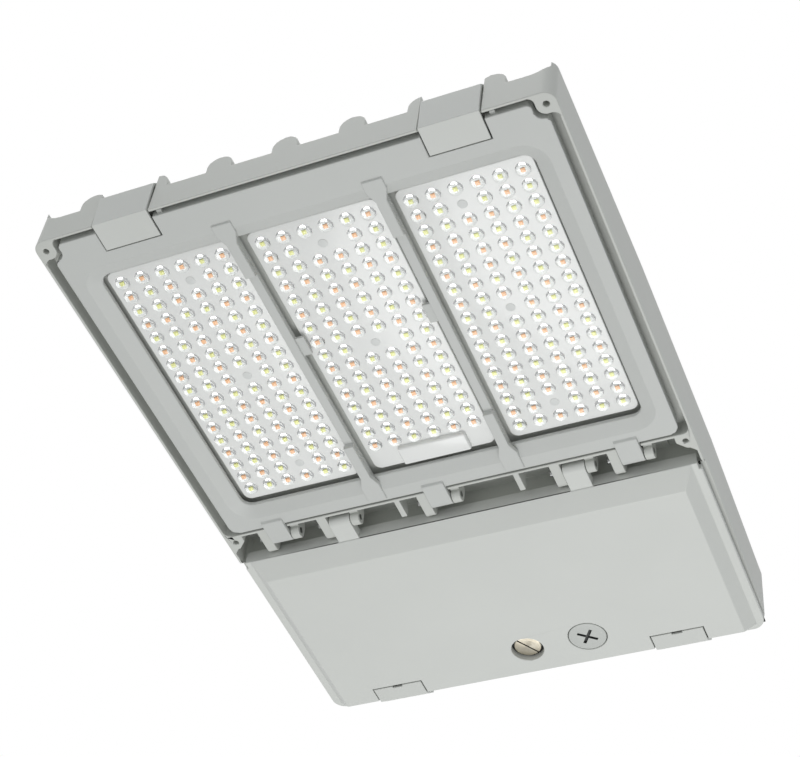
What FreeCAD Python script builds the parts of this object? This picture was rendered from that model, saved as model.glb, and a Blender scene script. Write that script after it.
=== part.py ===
"""Shoebox area light: a die-cast housing with an LED window frame and a gear cover hinged under it.

All lengths are millimetres. Every piece is drawn in the rim frame: X to the right, Y from the front
screw line towards the gear end, Z up from the plane of the lower rim. Its Placement then carries it to
the mounting frame, whose origin is the middle of the mounting pad on the roof.
"""

import FreeCAD, Part
import math
import os
from types import SimpleNamespace

import Sketcher

SIZES = {
    # housing, seen from below
    "rim_half_width": 218.5,       # half the width over the side rims
    "rim_wall": 2.3,               # thickness of the rim
    "front_overhang": 10.2,        # front face ahead of the front screw line
    "rear_face": 587.0,            # rear face behind the front screw line
    "rear_half_width": 215.0,      # half the width at the rear face
    "taper_start": 400.0,          # the sides draw in from here
    "corner_radius": 10.0,         # upright corners of the housing
    "screw_line": 210.0,           # rim screws from the middle
    "screw_pitch": 346.8,          # front screw line to rear screw line
    "rim_screw_radius": 2.5,
    "boss_reach": 8.3,             # edge of a screw boss from its hole
    "boss_nose": 7.5,
    "boss_root": 5.0,
    "bay_corner": 7.0,
    # housing, heights
    "cheek_front": 43.0,           # side walls at the front
    "cheek_full": 55.0,            # side walls over the gear bay
    "cheek_full_at": 200.0,        # where they reach that height
    "cheek_wall": 3.5,
    "lip_height": 29.5,            # front wall between the cheeks
    "lip_run": 20.0,               # length of the curve from lip to cheek
    "deck_under": 15.0,            # LED deck, lower face
    "deck_thickness": 5.0,
    "roof_thickness": 4.0,
    "well_wall": 5.3,              # between the rib well and the gear bay
    "rib_pitch": 56.7,
    "rib_width": 22.0,
    "rib_top": 46.0,
    "channel_width": 13.0,         # hollow under a rib
    "channel_top": 40.0,
    # crossbar, hinge pocket and gear bay
    "crossbar_front": 338.9,
    "side_rim_end": 376.0,
    "gear_lift": 5.0,              # lower edge of the gear bay walls
    "gear_half_width": 211.5,      # gear bay, inside
    "gear_rear_wall": 2.8,
    "pocket_ceiling": 34.0,
    "partition_wall": 3.0,
    "partition_front": 376.8,
    "stiffener_width": 5.0,
    "stiffener_reach": 361.0,
    "stiffener_offset": 55.5,
    # hinge shared by frame and cover
    "hinge_y": 353.0,
    "hinge_z": 4.0,
    "knuckle_radius": 6.5,
    "knuckle_width": 20.0,
    "pin_radius": 2.5,
    "hinge_fit": 0.05,             # radial clearance of a pin
    "side_play": 0.7,              # knuckle to ear
    "ear_width": 9.0,
    "ear_reach": 369.8,
    "ear_round": 6.0,
    "boss_width": 8.0,             # ear on the far side of a knuckle
    "pin_stand": 2.2,              # pin end proud of its ear
    "frame_knuckle_left": -166.5,
    "frame_knuckle_middle": -11.5,
    "frame_knuckle_right": 162.5,
    "cover_knuckle_left": -108.0,
    "cover_knuckle_right": 111.0,
    # optical frame
    "frame_side_gap": 7.7,
    "frame_front_gap": 5.0,
    "frame_rear_gap": 2.0,
    "frame_height": 9.0,
    "frame_skin": 3.0,
    "frame_corner": 9.0,
    "window_half": 185.0,
    "window_front": 39.0,
    "window_rear": 312.0,
    "window_radius": 10.0,
    "bevel_width": 12.0,
    "bevel_depth": 5.2,
    "boss_notch_gap": 3.0,         # frame corner to screw boss
    "bar_offset": 63.8,            # bridge bars from the middle
    "bar_half": 4.0,
    "bar_flare": 8.5,
    "bar_low": 3.0,
    "bar_proud": 1.8,              # bar ends below the rim plane
    "striker_width": 4.4,
    # seal between frame and deck
    "seal_line": 202.8,            # middle of the seal from the middle
    "seal_front": 21.3,
    "seal_rear": 330.2,
    "seal_groove": 6.2,
    "seal_side_gap": 0.3,
    "seal_height": 5.0,
    "ridge_width": 2.4,
    "soft_gap": 0.3,
    # light modules
    "module_pitch": 126.6,
    "module_width": 112.0,
    "module_front": 42.0,
    "module_rear": 309.0,
    "module_corner": 7.0,
    "board_thickness": 1.6,
    "board_inset": 1.0,
    "lens_face": 10.5,             # flat face of a lens plate
    "lens_rise": 4.5,              # dome above that face
    "lens_base": 6.25,
    "lens_tip": 3.7,
    "column_pitch": 18.2,
    "row_pitch": 15.15,
    "first_row": 54.2,
    "module_seal_inset": 2.4,
    "module_seal_width": 2.2,
    "module_seal_depth": 1.0,
    "hump_half": 31.0,
    "hump_centre": 3.0,
    "hump_front": 289.0,
    "hump_rise": 4.6,
    "module_screw_radius": 1.5,
    "module_head_radius": 3.5,
    "module_head": 2.0,
    # clips
    "clip_centre": 138.0,
    "clip_half": 24.2,
    "clip_gap": 1.1,
    "clip_swing_gap": 2.0,         # room over the leaf for its swing
    "clip_thickness": 2.6,
    "clip_proud": 1.05,            # front clip ahead of the front face
    "clip_lean": 1.35,
    "clip_leaf_rear": 14.4,
    "clip_leaf_low": 0.6,
    "clip_pin_radius": 2.0,
    "clip_barrel": 5.0,
    "front_pivot_y": 2.0,
    "front_pivot_z": 38.0,
    "clip_recess_rear": 10.2,
    "clip_sill": 27.0,
    "rear_clip_front": 558.9,
    "rear_clip_turn": 577.0,
    "rear_clip_gap": 1.4,          # riser to the rear face
    "rear_barrel": 4.0,
    "rear_pivot_z": 30.0,
    "rear_ear_width": 7.0,
    # gear cover
    "cover_half": 214.5,
    "cover_front": 378.5,
    "cover_flange_low": 2.8,
    "cover_flange_high": 3.2,
    "cover_rear_corner": 12.0,
    "cover_wall": 2.6,
    "cover_depth": 14.0,
    "cover_face_half": 196.7,
    "cover_face_front": 390.0,
    "cover_face_rear": 575.5,
    "cover_bevel_half": 207.2,
    "cover_bevel_front": 371.5,
    "cover_bevel_rear": 580.5,
    "cover_lip_top": 10.7,
    "cover_ledge": 5.6,
    "gasket_inset": 0.8,
    "gasket_width": 3.6,
    "gasket_thickness": 1.5,
    "shelf_thickness": 4.0,
    # lock and access plug
    "lock_y": 544.0,
    "lock_recess_radius": 15.3,
    "lock_head_radius": 12.6,
    "lock_set_back": 4.0,
    "lock_head_height": 3.0,
    "lock_shank": 8.0,
    "lock_boss_radius": 19.0,
    "lock_boss_top": 2.0,
    "slot_width": 1.6,
    "slot_depth": 1.2,
    "slot_angle": 54.0,
    "lock_nut_radius": 12.5,
    "lock_nut_height": 3.0,
    "cam_length": 38.0,
    "cam_width": 14.0,
    "cam_thickness": 3.0,
    "cam_clearance": 0.5,
    "plug_x": 59.0,
    "plug_y": 542.0,
    "plug_radius": 18.0,
    "plug_gap": 0.25,
    "plug_head": 4.5,
    "plug_shank": 11.5,
    "plug_seal": 1.4,
    "plug_boss_radius": 21.5,
    "cross_half": 9.0,
    "cross_width": 3.2,
    "cross_depth": 2.5,
    # mounting pad
    "pad_y": 470.0,
    "pad_face": 60.0,
    "pad_length": 150.0,
    "pad_width": 100.0,
    "pad_corner": 12.0,
    "bolt_span": 100.0,
    "bolt_spread": 60.0,
    "bolt_radius": 3.4,
    "bolt_depth": 16.0,
    "bolt_boss": 8.0,
    "entry_radius": 11.0,
    "entry_bore": 5.0,
    "entry_flange": 14.0,
    # gear
    "tray_thickness": 1.5,
    "tray_half": 188.0,
    "tray_front": 388.0,
    "tray_rear": 570.0,
    "tray_lip": 8.0,
    "tray_screw_x": 179.0,
    "tray_screw_front": 397.0,
    "tray_screw_rear": 561.0,
    "tray_screw_radius": 2.0,
    "driver_length": 168.0,
    "driver_width": 72.0,
    "driver_height": 34.0,
    "driver_y": 429.0,
    "driver_x": 94.0,
    "driver_foot": 9.0,
    "driver_screw_inset": 4.5,
    "surge_x": -112.0,
    "surge_y": 512.0,
    "surge_length": 62.0,
    "surge_width": 46.0,
    "surge_height": 27.0,
    "terminal_x": 118.0,
    "terminal_y": 505.0,
    "terminal_pitch": 11.0,
    "terminal_width": 26.0,
    "terminal_height": 24.0,
}


class Size:
    """A length with its number now and the formula that ties it to the sheet."""

    def __init__(self, number, formula):
        self.number = float(number)
        self.formula = formula

    def __add__(self, other):
        other = as_size(other)
        return Size(self.number + other.number, f"({self.formula} + {other.formula})")

    def __sub__(self, other):
        other = as_size(other)
        return Size(self.number - other.number, f"({self.formula} - {other.formula})")

    def __mul__(self, other):
        other = as_size(other)
        return Size(self.number * other.number, f"({self.formula} * {other.formula})")

    def __truediv__(self, other):
        other = as_size(other)
        return Size(self.number / other.number, f"({self.formula} / {other.formula})")

    def __radd__(self, other):
        return as_size(other) + self

    def __rsub__(self, other):
        return as_size(other) - self

    def __rmul__(self, other):
        return as_size(other) * self

    def __neg__(self):
        return Size(-self.number, f"(0 - {self.formula})")


def as_size(thing):
    return thing if isinstance(thing, Size) else Size(thing, f"({thing})")


doc = FreeCAD.newDocument("ShoeboxAreaLight")
sheet = doc.addObject("Spreadsheet::Sheet", "Sizes")
for row, (alias, number) in enumerate(SIZES.items(), 1):
    sheet.set(f"A{row}", alias.replace("_", " "))
    sheet.set(f"B{row}", str(number))
    sheet.setAlias(f"B{row}", alias)
doc.recompute()
d = SimpleNamespace(**{alias: Size(number, f"Sizes.{alias}") for alias, number in SIZES.items()})

pieces = []
BIG = 400.0      # past every face of the light, for cuts that run right through


# ---------------------------------------------------------------- drawing helpers

def seat(piece, label):
    """Names a finished piece and carries it from the rim frame to the mounting frame."""
    piece.Label = label
    piece.setExpression("Placement.Base.y", "0 - Sizes.pad_y")
    piece.setExpression("Placement.Base.z", "0 - Sizes.pad_face")
    pieces.append(piece)
    return piece


def new_body(label):
    return seat(doc.addObject("PartDesign::Body", label), label)


def circle(x, y, radius):
    return ("circle", as_size(x), as_size(y), as_size(radius))


def rectangle(x_low, x_high, y_low, y_high):
    return [(x_low, y_low), (x_high, y_low), (x_high, y_high), (x_low, y_high)]


def rounded(x_low, x_high, y_low, y_high, radius):
    """A rectangle with quarter-round corners."""
    return [
        (x_low + radius, y_low),
        (x_high - radius, y_low, radius),
        (x_high, y_low + radius),
        (x_high, y_high - radius, radius),
        (x_high - radius, y_high),
        (x_low + radius, y_high, radius),
        (x_low, y_high - radius),
        (x_low, y_low + radius, radius),
    ]


def arc_between(start, end, radius):
    """The shorter arc from start to end; a positive radius turns left on the way."""
    if radius < 0:
        start, end = end, start
    chord = end - start
    middle = (start + end) / 2
    reach = math.sqrt(max(0.0, radius * radius - chord.Length ** 2 / 4))
    across = FreeCAD.Vector(-chord.y, chord.x, 0).normalize()
    centre = middle + across * reach
    first = math.atan2(start.y - centre.y, start.x - centre.x)
    last = math.atan2(end.y - centre.y, end.x - centre.x)
    if last <= first:
        last += 2 * math.pi
    ring = Part.Circle(centre, FreeCAD.Vector(0, 0, 1), abs(radius))
    return Part.ArcOfCircle(ring, first, last)


def tie(profile, kind, geometry, point, length):
    """Holds one coordinate or radius of a sketch to a formula of the sheet."""
    if kind == "Radius":
        rule = Sketcher.Constraint(kind, geometry, length.number)
    else:
        rule = Sketcher.Constraint(kind, -1, 1, geometry, point, length.number)
    index = profile.addConstraint(rule)
    profile.setExpression(f"Constraints[{index}]", length.formula)


def draw_circle(profile, x, y, radius):
    centre = FreeCAD.Vector(x.number, y.number, 0)
    index = profile.addGeometry(Part.Circle(centre, FreeCAD.Vector(0, 0, 1), radius.number), False)
    tie(profile, "DistanceX", index, 3, x)
    tie(profile, "DistanceY", index, 3, y)
    tie(profile, "Radius", index, 3, radius)


def draw_outline(profile, corners):
    """Draws a closed outline. A corner is (x, y), or (x, y, r) where an arc leads to the next one.

    r is the arc's radius, negative where it turns right, or "half" for a half circle turning left.
    """
    first = profile.GeometryCount
    count = len(corners)
    places = [(as_size(corner[0]), as_size(corner[1])) for corner in corners]
    points = [FreeCAD.Vector(x.number, y.number, 0) for x, y in places]
    backwards = []
    for index, corner in enumerate(corners):
        start = points[index]
        end = points[(index + 1) % count]
        if len(corner) == 2:
            profile.addGeometry(Part.LineSegment(start, end), False)
            backwards.append(False)
        elif corner[2] == "half":
            profile.addGeometry(arc_between(start, end, (end - start).Length / 2), False)
            backwards.append(False)
        else:
            radius = as_size(corner[2])
            profile.addGeometry(arc_between(start, end, radius.number), False)
            backwards.append(radius.number < 0)
    joints = []
    for index in range(count):
        following = (index + 1) % count
        leaves = 1 if backwards[index] else 2
        enters = 2 if backwards[following] else 1
        joints.append(Sketcher.Constraint("Coincident", first + index, leaves, first + following, enters))
    profile.addConstraint(joints)
    for index, (x, y) in enumerate(places):
        point = 2 if backwards[index] else 1
        tie(profile, "DistanceX", first + index, point, x)
        tie(profile, "DistanceY", first + index, point, y)
        if len(corners[index]) == 3:
            tie_arc(profile, first + index, corners[index], places[(index + 1) % count])


def tie_arc(profile, geometry, corner, next_place):
    """An arc keeps its radius; a half circle keeps its centre level with its ends instead."""
    if corner[2] != "half":
        radius = as_size(corner[2])
        tie(profile, "Radius", geometry, 3, radius if radius.number > 0 else -radius)
        return
    x, y = as_size(corner[0]), as_size(corner[1])
    if abs(x.number - next_place[0].number) > abs(y.number - next_place[1].number):
        tie(profile, "DistanceY", geometry, 3, y)
    else:
        tie(profile, "DistanceX", geometry, 3, x)


def sketch(body, name, plane, level, outlines):
    """A sketch at a level on one of the body's own planes: XY, XZ or YZ."""
    profile = body.newObject("Sketcher::SketchObject", name)
    origin_plane = next(f for f in body.Origin.OriginFeatures if f.Role == plane + "_Plane")
    profile.AttachmentSupport = [(origin_plane, "")]
    profile.MapMode = "FlatFace"
    level = as_size(level)
    profile.setExpression("AttachmentOffset.Base.z", (-level if plane == "XZ" else level).formula)
    for outline in outlines:
        if outline[0] == "circle":
            draw_circle(profile, *outline[1:])
        else:
            draw_outline(profile, outline)
    return profile


def grow(body, kind, name, plane, level, outlines, length, ahead=True, both_ways=False, check=True):
    """Pads or pockets outlines along the plane's axis, towards + when ahead, and checks that it did."""
    before = body.Tip.Shape.Volume if body.Tip is not None else 0.0
    profile = sketch(body, name + "Sketch", plane, level, outlines)
    feature = body.newObject("PartDesign::" + kind, name)
    feature.Profile = profile
    feature.setExpression("Length", as_size(length).formula)
    flips = (plane == "XZ") if kind == "Pad" else (plane != "XZ")
    feature.Reversed = flips == ahead
    feature.Refine = False
    if both_ways:
        feature.SideType = "Symmetric"
    doc.recompute()
    change = feature.Shape.Volume - before
    if check and (change <= 0) == (kind == "Pad"):
        raise RuntimeError(f"{body.Label}: {name} changed nothing")
    return feature


def pad(body, name, plane, level, outlines, length, **how):
    return grow(body, "Pad", name, plane, level, outlines, length, **how)


def pocket(body, name, plane, level, outlines, length, **how):
    return grow(body, "Pocket", name, plane, level, outlines, length, **how)


def round_edges(body, name, chosen, radius):
    """Fillets the edges of the body so far for which chosen(edge) is true."""
    base = body.Tip
    names = [f"Edge{i}" for i, edge in enumerate(base.Shape.Edges, 1) if chosen(edge)]
    if not names:
        raise RuntimeError(f"{body.Label}: {name} found no edge")
    fillet = body.newObject("PartDesign::Fillet", name)
    fillet.Base = (base, names)
    fillet.Refine = False
    fillet.setExpression("Radius", as_size(radius).formula)
    doc.recompute()
    return fillet


def upright_on(places, low=-BIG, high=BIG):
    """Picks upright edges that stand on one of the (x, y) places, between two heights."""
    spots = [(as_size(x).number, as_size(y).number) for x, y in places]

    def chosen(edge):
        start, end = edge.Vertexes[0].Point, edge.Vertexes[-1].Point
        if math.hypot(start.x - end.x, start.y - end.y) > 1e-4 or abs(start.z - end.z) < 1e-3:
            return False
        if min(start.z, end.z) < low or max(start.z, end.z) > high:
            return False
        return any(math.hypot(start.x - x, start.y - y) < 0.02 for x, y in spots)

    return chosen


def both_sides(*places):
    """The (x, y) places and their mirror images across the middle."""
    return [(sign * x, y) for x, y in places for sign in (-1, 1)]


def mirrored_outline(right_half):
    """A closed outline from its right half, given from the front middle round to the rear middle."""
    left_half = []
    for index in range(len(right_half) - 1, -1, -1):
        corner = right_half[index]
        before = right_half[index - 1] if index else ()
        left_half.append((-corner[0], corner[1]) + tuple(before[2:]))
    return list(right_half) + left_half


def group(label, solids):
    """Like pieces kept together as one node of separate solids."""
    feature = doc.addObject("Part::Compound", label)
    feature.Links = solids
    return seat(feature, label)


# ---------------------------------------------------------------- shared places

front_face = -d.front_overhang
front_inner = front_face + d.rim_wall
rim_inner = d.rim_half_width - d.rim_wall
crossbar_rear = d.crossbar_front + d.rim_wall
deck_top = d.deck_under + d.deck_thickness
gear_roof = d.cheek_full - d.roof_thickness
gear_rear = d.rear_face - d.gear_rear_wall
well_rear = crossbar_rear - d.well_wall

frame_half = rim_inner - d.frame_side_gap
frame_front = front_inner + d.frame_front_gap
frame_rear = d.crossbar_front - d.frame_rear_gap

clip_notch = d.clip_half + d.clip_gap
clip_outer_face = front_face - d.clip_proud
clip_inner_face = clip_outer_face + d.clip_thickness
rear_clip_low = -d.cover_depth - 0.2
rear_riser = d.rear_face + d.rear_clip_gap
rear_pivot_y = rear_riser + d.rear_barrel - 1.0
cover_notch_front = d.rear_clip_front - d.clip_gap

frame_knuckles = (d.frame_knuckle_left, d.frame_knuckle_middle, d.frame_knuckle_right)
cover_knuckles = (d.cover_knuckle_left, d.cover_knuckle_right)
knuckle_half = d.knuckle_width / 2
knuckle_bore = d.pin_radius + d.hinge_fit

board_low = d.deck_under - d.board_thickness
module_centres = {"left": -d.module_pitch, "middle": as_size(0), "right": d.module_pitch}
module_half = d.module_width / 2
COLUMNS, ROWS = 6, 17
SCREW_ROWS = (2, 9, 16)

lock_boss_top = d.lock_boss_top
bolt_places = [(x * d.bolt_span / 2, d.pad_y + y * d.bolt_spread / 2) for x in (-1, 1) for y in (-1, 1)]
tray_screws = both_sides((d.tray_screw_x, d.tray_screw_front), (d.tray_screw_x, d.tray_screw_rear))
tray_top = d.pad_face - d.bolt_depth - 2
tray_low = tray_top - d.tray_thickness


driver_screws = [(side * d.driver_x + end * (d.driver_length / 2 - d.driver_screw_inset), d.driver_y)
                 for side in (-1, 1) for end in (-1, 1)]


def module_column(centre, column):
    return centre + (column - (COLUMNS + 1) / 2) * d.column_pitch


def module_row(row):
    return d.first_row + (row - 1) * d.row_pitch


def module_screws(side):
    """Screw spots of a lens plate, where a lens is left out."""
    centre = module_centres[side]
    if side == "middle":
        return [(centre, module_row(row)) for row in SCREW_ROWS[:2]]
    column = 4 if side == "left" else 3
    return [(module_column(centre, column), module_row(row)) for row in SCREW_ROWS]


all_module_screws = [place for side in module_centres for place in module_screws(side)]


def gear_outline(side_inset, front, rear_inset, notch_inset):
    """The gear bay's edge from below: a rectangle that steps round the two rear clips."""
    side = d.cover_half - side_inset
    rear = d.rear_face - rear_inset
    notch_in = d.clip_centre - clip_notch - notch_inset
    notch_out = d.clip_centre + clip_notch + notch_inset
    notch_front = cover_notch_front - notch_inset
    return mirrored_outline([
        (side, front),
        (side, rear),
        (notch_out, rear),
        (notch_out, notch_front),
        (notch_in, notch_front),
        (notch_in, rear),
    ])


# ---------------------------------------------------------------- housing

def make_housing():
    body = new_body("housing")
    pad(body, "Block", "XY", 0, [mirrored_outline([
        (d.rim_half_width - d.corner_radius, front_face, d.corner_radius),
        (d.rim_half_width, front_face + d.corner_radius),
        (d.rim_half_width, d.taper_start),
        (d.rear_half_width, d.rear_face),
    ])], d.cheek_full)
    round_edges(body, "RearCorners", upright_on(both_sides((d.rear_half_width, d.rear_face))), d.corner_radius)
    pocket(body, "CheekSlope", "YZ", 0, [[
        (front_face - d.rim_wall, d.cheek_front),
        (d.cheek_full_at, d.cheek_full),
        (d.cheek_full_at, d.cheek_full + d.rim_wall),
        (front_face - d.rim_wall, d.cheek_full + d.rim_wall),
    ]], 2 * BIG, both_ways=True)
    cut_rib_well(body)
    add_ribs(body)
    cut_gear_bay(body)
    cut_optical_bay(body)
    add_lugs(body)
    fit_front_clips(body)
    add_mounting_pad(body)


def cut_rib_well(body):
    """The open well over the LED deck, and the curved lip across its front."""
    well_half = d.rim_half_width - d.cheek_wall
    well_front = front_face + d.rim_wall + 0.5
    pocket(body, "RibWell", "XY", deck_top,
           [rectangle(-well_half, well_half, well_front, well_rear)], d.cheek_full)
    lip_end = d.rim_half_width - d.lip_run
    lip_drop = d.cheek_front + 1 - d.lip_height
    lip_radius = (d.lip_run * d.lip_run + lip_drop * lip_drop) / (2 * lip_drop)
    pocket(body, "LipCurve", "XZ", front_face - 1, [[
        (-d.rim_half_width, d.cheek_front + 1),
        (-d.rim_half_width, d.cheek_full + d.rim_wall),
        (d.rim_half_width, d.cheek_full + d.rim_wall),
        (d.rim_half_width, d.cheek_front + 1, -lip_radius),
        (lip_end, d.lip_height),
        (-lip_end, d.lip_height, -lip_radius),
    ]], well_front - front_face + 1)


def add_ribs(body):
    """Seven round-topped ribs from the front face to the gear bay, hollow under the LED boards."""
    half = d.rib_width / 2
    outlines = []
    for number in range(-3, 4):
        centre = number * d.rib_pitch
        outlines.append([
            (centre - half, deck_top - 1),
            (centre + half, deck_top - 1),
            (centre + half, d.rib_top - half, "half"),
            (centre - half, d.rib_top - half),
        ])
    pad(body, "Ribs", "XZ", front_face, outlines, well_rear - front_face + 1)
    channel = d.channel_width / 2
    channels = []
    for number in (-3, -2, 0, 2, 3):
        centre = number * d.rib_pitch
        channels.append([
            (centre - channel, d.deck_under - 1),
            (centre + channel, d.deck_under - 1),
            (centre + channel, d.channel_top - channel, "half"),
            (centre - channel, d.channel_top - channel),
        ])
    pocket(body, "RibChannels", "XZ", d.module_front + 8, channels, d.module_rear - d.module_front - 16)


def cut_optical_bay(body):
    """The bay that the window frame closes: its corners step round the rim screws in S curves."""
    boss_inner = d.screw_line - d.boss_reach
    nose, root = d.boss_nose, d.boss_root
    pocket(body, "OpticalBay", "XY", 0, [mirrored_outline([
        (boss_inner - root, front_inner, root),
        (boss_inner, front_inner + root),
        (boss_inner, d.boss_reach - nose, -nose),
        (boss_inner + nose, d.boss_reach),
        (rim_inner - root, d.boss_reach, root),
        (rim_inner, d.boss_reach + root),
        (rim_inner, d.crossbar_front - d.bay_corner, d.bay_corner),
        (rim_inner - d.bay_corner, d.crossbar_front),
    ])], d.deck_under)
    half = d.ridge_width / 2
    outer = rectangle(-d.seal_line - half, d.seal_line + half, d.seal_front - half, d.seal_rear + half)
    inner = rectangle(-d.seal_line + half, d.seal_line - half, d.seal_front + half, d.seal_rear - half)
    ridge_tip = d.frame_skin + d.seal_height + d.soft_gap
    pad(body, "SealRidge", "XY", ridge_tip, [outer, inner], d.deck_under - ridge_tip + 1)
    pocket(body, "ModuleScrewHoles", "XY", 0,
           [circle(x, y, d.module_screw_radius + 0.1) for x, y in all_module_screws], d.deck_under + 4)
    rim_screws = both_sides((d.screw_line, as_size(0)), (d.screw_line, d.screw_pitch))
    pocket(body, "RimScrewHoles", "XY", 0,
           [circle(x, y, d.rim_screw_radius) for x, y in rim_screws], 12)


def cut_gear_bay(body):
    """Hinge pocket, partition and the gear bay behind it."""
    boss_inner = d.screw_line - d.boss_reach
    boss_rear = d.screw_pitch + d.boss_reach
    nose, root = d.boss_nose, d.boss_root
    pocket(body, "HingePocket", "XY", 0, [mirrored_outline([
        (boss_inner - root, crossbar_rear),
        (boss_inner, crossbar_rear),
        (boss_inner, boss_rear - nose),
        (boss_inner + nose, boss_rear, -nose),
        (rim_inner - root, boss_rear),
        (rim_inner, boss_rear + root),
        (rim_inner, d.partition_front - 2),
        (d.gear_half_width, d.partition_front),
    ])], d.pocket_ceiling)
    partition_rear = d.partition_front + d.partition_wall
    pocket(body, "GearBay", "XY", 0,
           [rounded(-d.gear_half_width, d.gear_half_width, partition_rear, gear_rear, 6)], gear_roof)
    pocket(body, "GearLift", "YZ", 0, [[
        (d.side_rim_end - d.gear_lift, -1),
        (d.side_rim_end - d.gear_lift, 0, d.gear_lift),
        (d.side_rim_end, d.gear_lift),
        (d.rear_face + d.rim_wall, d.gear_lift),
        (d.rear_face + d.rim_wall, -1),
    ]], 2 * BIG, both_ways=True)
    shelf_half = clip_notch + d.gasket_inset + d.gasket_width + 1
    shelf_front = cover_notch_front - d.gasket_inset - d.gasket_width - 1
    shelves = [
        rectangle(sign * d.clip_centre - shelf_half, sign * d.clip_centre + shelf_half, shelf_front, gear_rear + 1)
        for sign in (-1, 1)
    ]
    keeper_half = 22.0
    keeper_front = d.lock_y + d.cam_length - 7
    shelves.append(rectangle(-keeper_half, keeper_half, keeper_front, gear_rear + 1))
    pad(body, "Shelves", "XY", d.gear_lift, shelves, d.shelf_thickness)


def hinge_lugs():
    """An ear on the left of every knuckle, a round boss on its right, and two stiffening webs."""
    lugs = doc.addObject("PartDesign::Body", "HingeLugs")
    root = crossbar_rear - 1
    ear_round_start = d.ear_reach - d.ear_round
    ear = [
        (root, 0.0),
        (ear_round_start, 0.0, d.ear_round),
        (d.ear_reach, d.ear_round),
        (d.ear_reach, d.ear_round + 6),
        (root + 12, d.pocket_ceiling + 1),
        (root, d.pocket_ceiling + 1),
    ]
    boss = [
        (root, d.hinge_z),
        (d.hinge_y - d.knuckle_radius, d.hinge_z, "half"),
        (d.hinge_y + d.knuckle_radius, d.hinge_z),
        (d.hinge_y + d.knuckle_radius, d.hinge_z + 8),
        (root + 8, d.pocket_ceiling + 1),
        (root, d.pocket_ceiling + 1),
    ]
    base = [
        (root, d.pocket_ceiling - 2),
        (d.partition_front + 1, d.pocket_ceiling - 2),
        (d.partition_front + 1, d.pocket_ceiling + 1),
        (root, d.pocket_ceiling + 1),
    ]
    pad(lugs, "Ceiling", "YZ", d.frame_knuckle_left - 25, [base],
        d.frame_knuckle_right - d.frame_knuckle_left + 50)
    for number, centre in enumerate(frame_knuckles + cover_knuckles, 1):
        ear_left = centre - knuckle_half - d.side_play - d.ear_width
        pad(lugs, f"Ear{number}", "YZ", ear_left, [ear], d.ear_width)
        pad(lugs, f"Boss{number}", "YZ", centre + knuckle_half + d.side_play, [boss], d.boss_width)
    pocket(lugs, "PinBores", "YZ", 0, [circle(d.hinge_y, d.hinge_z, d.pin_radius)], 2 * BIG, both_ways=True)
    web = [
        (root, 0.0),
        (d.stiffener_reach, 0.0),
        (d.stiffener_reach, 6.0),
        (root + 10, d.pocket_ceiling + 1),
        (root, d.pocket_ceiling + 1),
    ]
    for sign in (-1, 1):
        left = sign * d.stiffener_offset - d.stiffener_width / 2 + 6
        pad(lugs, "WebLeft" if sign < 0 else "WebRight", "YZ", left, [web], d.stiffener_width)
    return lugs


def rear_clip_lugs(sign):
    """The two ears on the rear face that carry one rear clip's pin."""
    lugs = doc.addObject("PartDesign::Body", "RearLugsLeft" if sign < 0 else "RearLugsRight")
    root = d.rear_face - 1
    ear = [
        (root, d.rear_pivot_z - 9),
        (rear_pivot_y, d.rear_pivot_z - d.rear_barrel, "half"),
        (rear_pivot_y, d.rear_pivot_z + d.rear_barrel),
        (root, d.rear_pivot_z + 9),
    ]
    root_plate = rectangle(root, d.rear_face, d.rear_pivot_z - 9, d.rear_pivot_z + 9)
    centre = sign * d.clip_centre
    left = centre - clip_notch - d.rear_ear_width
    width = 2 * (clip_notch + d.rear_ear_width)
    pad(lugs, "Root", "YZ", left, [root_plate], width)
    pad(lugs, "Ears", "YZ", left, [ear], width)
    pocket(lugs, "Gap", "XZ", d.rear_face, [rectangle(
        centre - clip_notch, centre + clip_notch, d.rear_pivot_z - 10, d.rear_pivot_z + 10)], 20)
    pocket(lugs, "PinBore", "YZ", left - 1, [circle(rear_pivot_y, d.rear_pivot_z, d.clip_pin_radius)], width + 2)
    return lugs


def add_lugs(body):
    """Joins the hinge lugs and the rear clip lugs to the casting, then frees the frame's hooks."""
    lugs = [hinge_lugs(), rear_clip_lugs(-1), rear_clip_lugs(1)]
    join = body.newObject("PartDesign::Boolean", "Lugs")
    join.Type = "Fuse"
    join.Refine = False
    join.addObjects(lugs)
    doc.recompute()
    reliefs = []
    for centre in frame_knuckles:
        half = knuckle_half + d.side_play
        reliefs.append(rectangle(centre - half, centre + half, d.crossbar_front - 1, crossbar_rear + 1))
    pocket(body, "HookReliefs", "XY", -1, reliefs, 1 + d.hinge_z)


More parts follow.
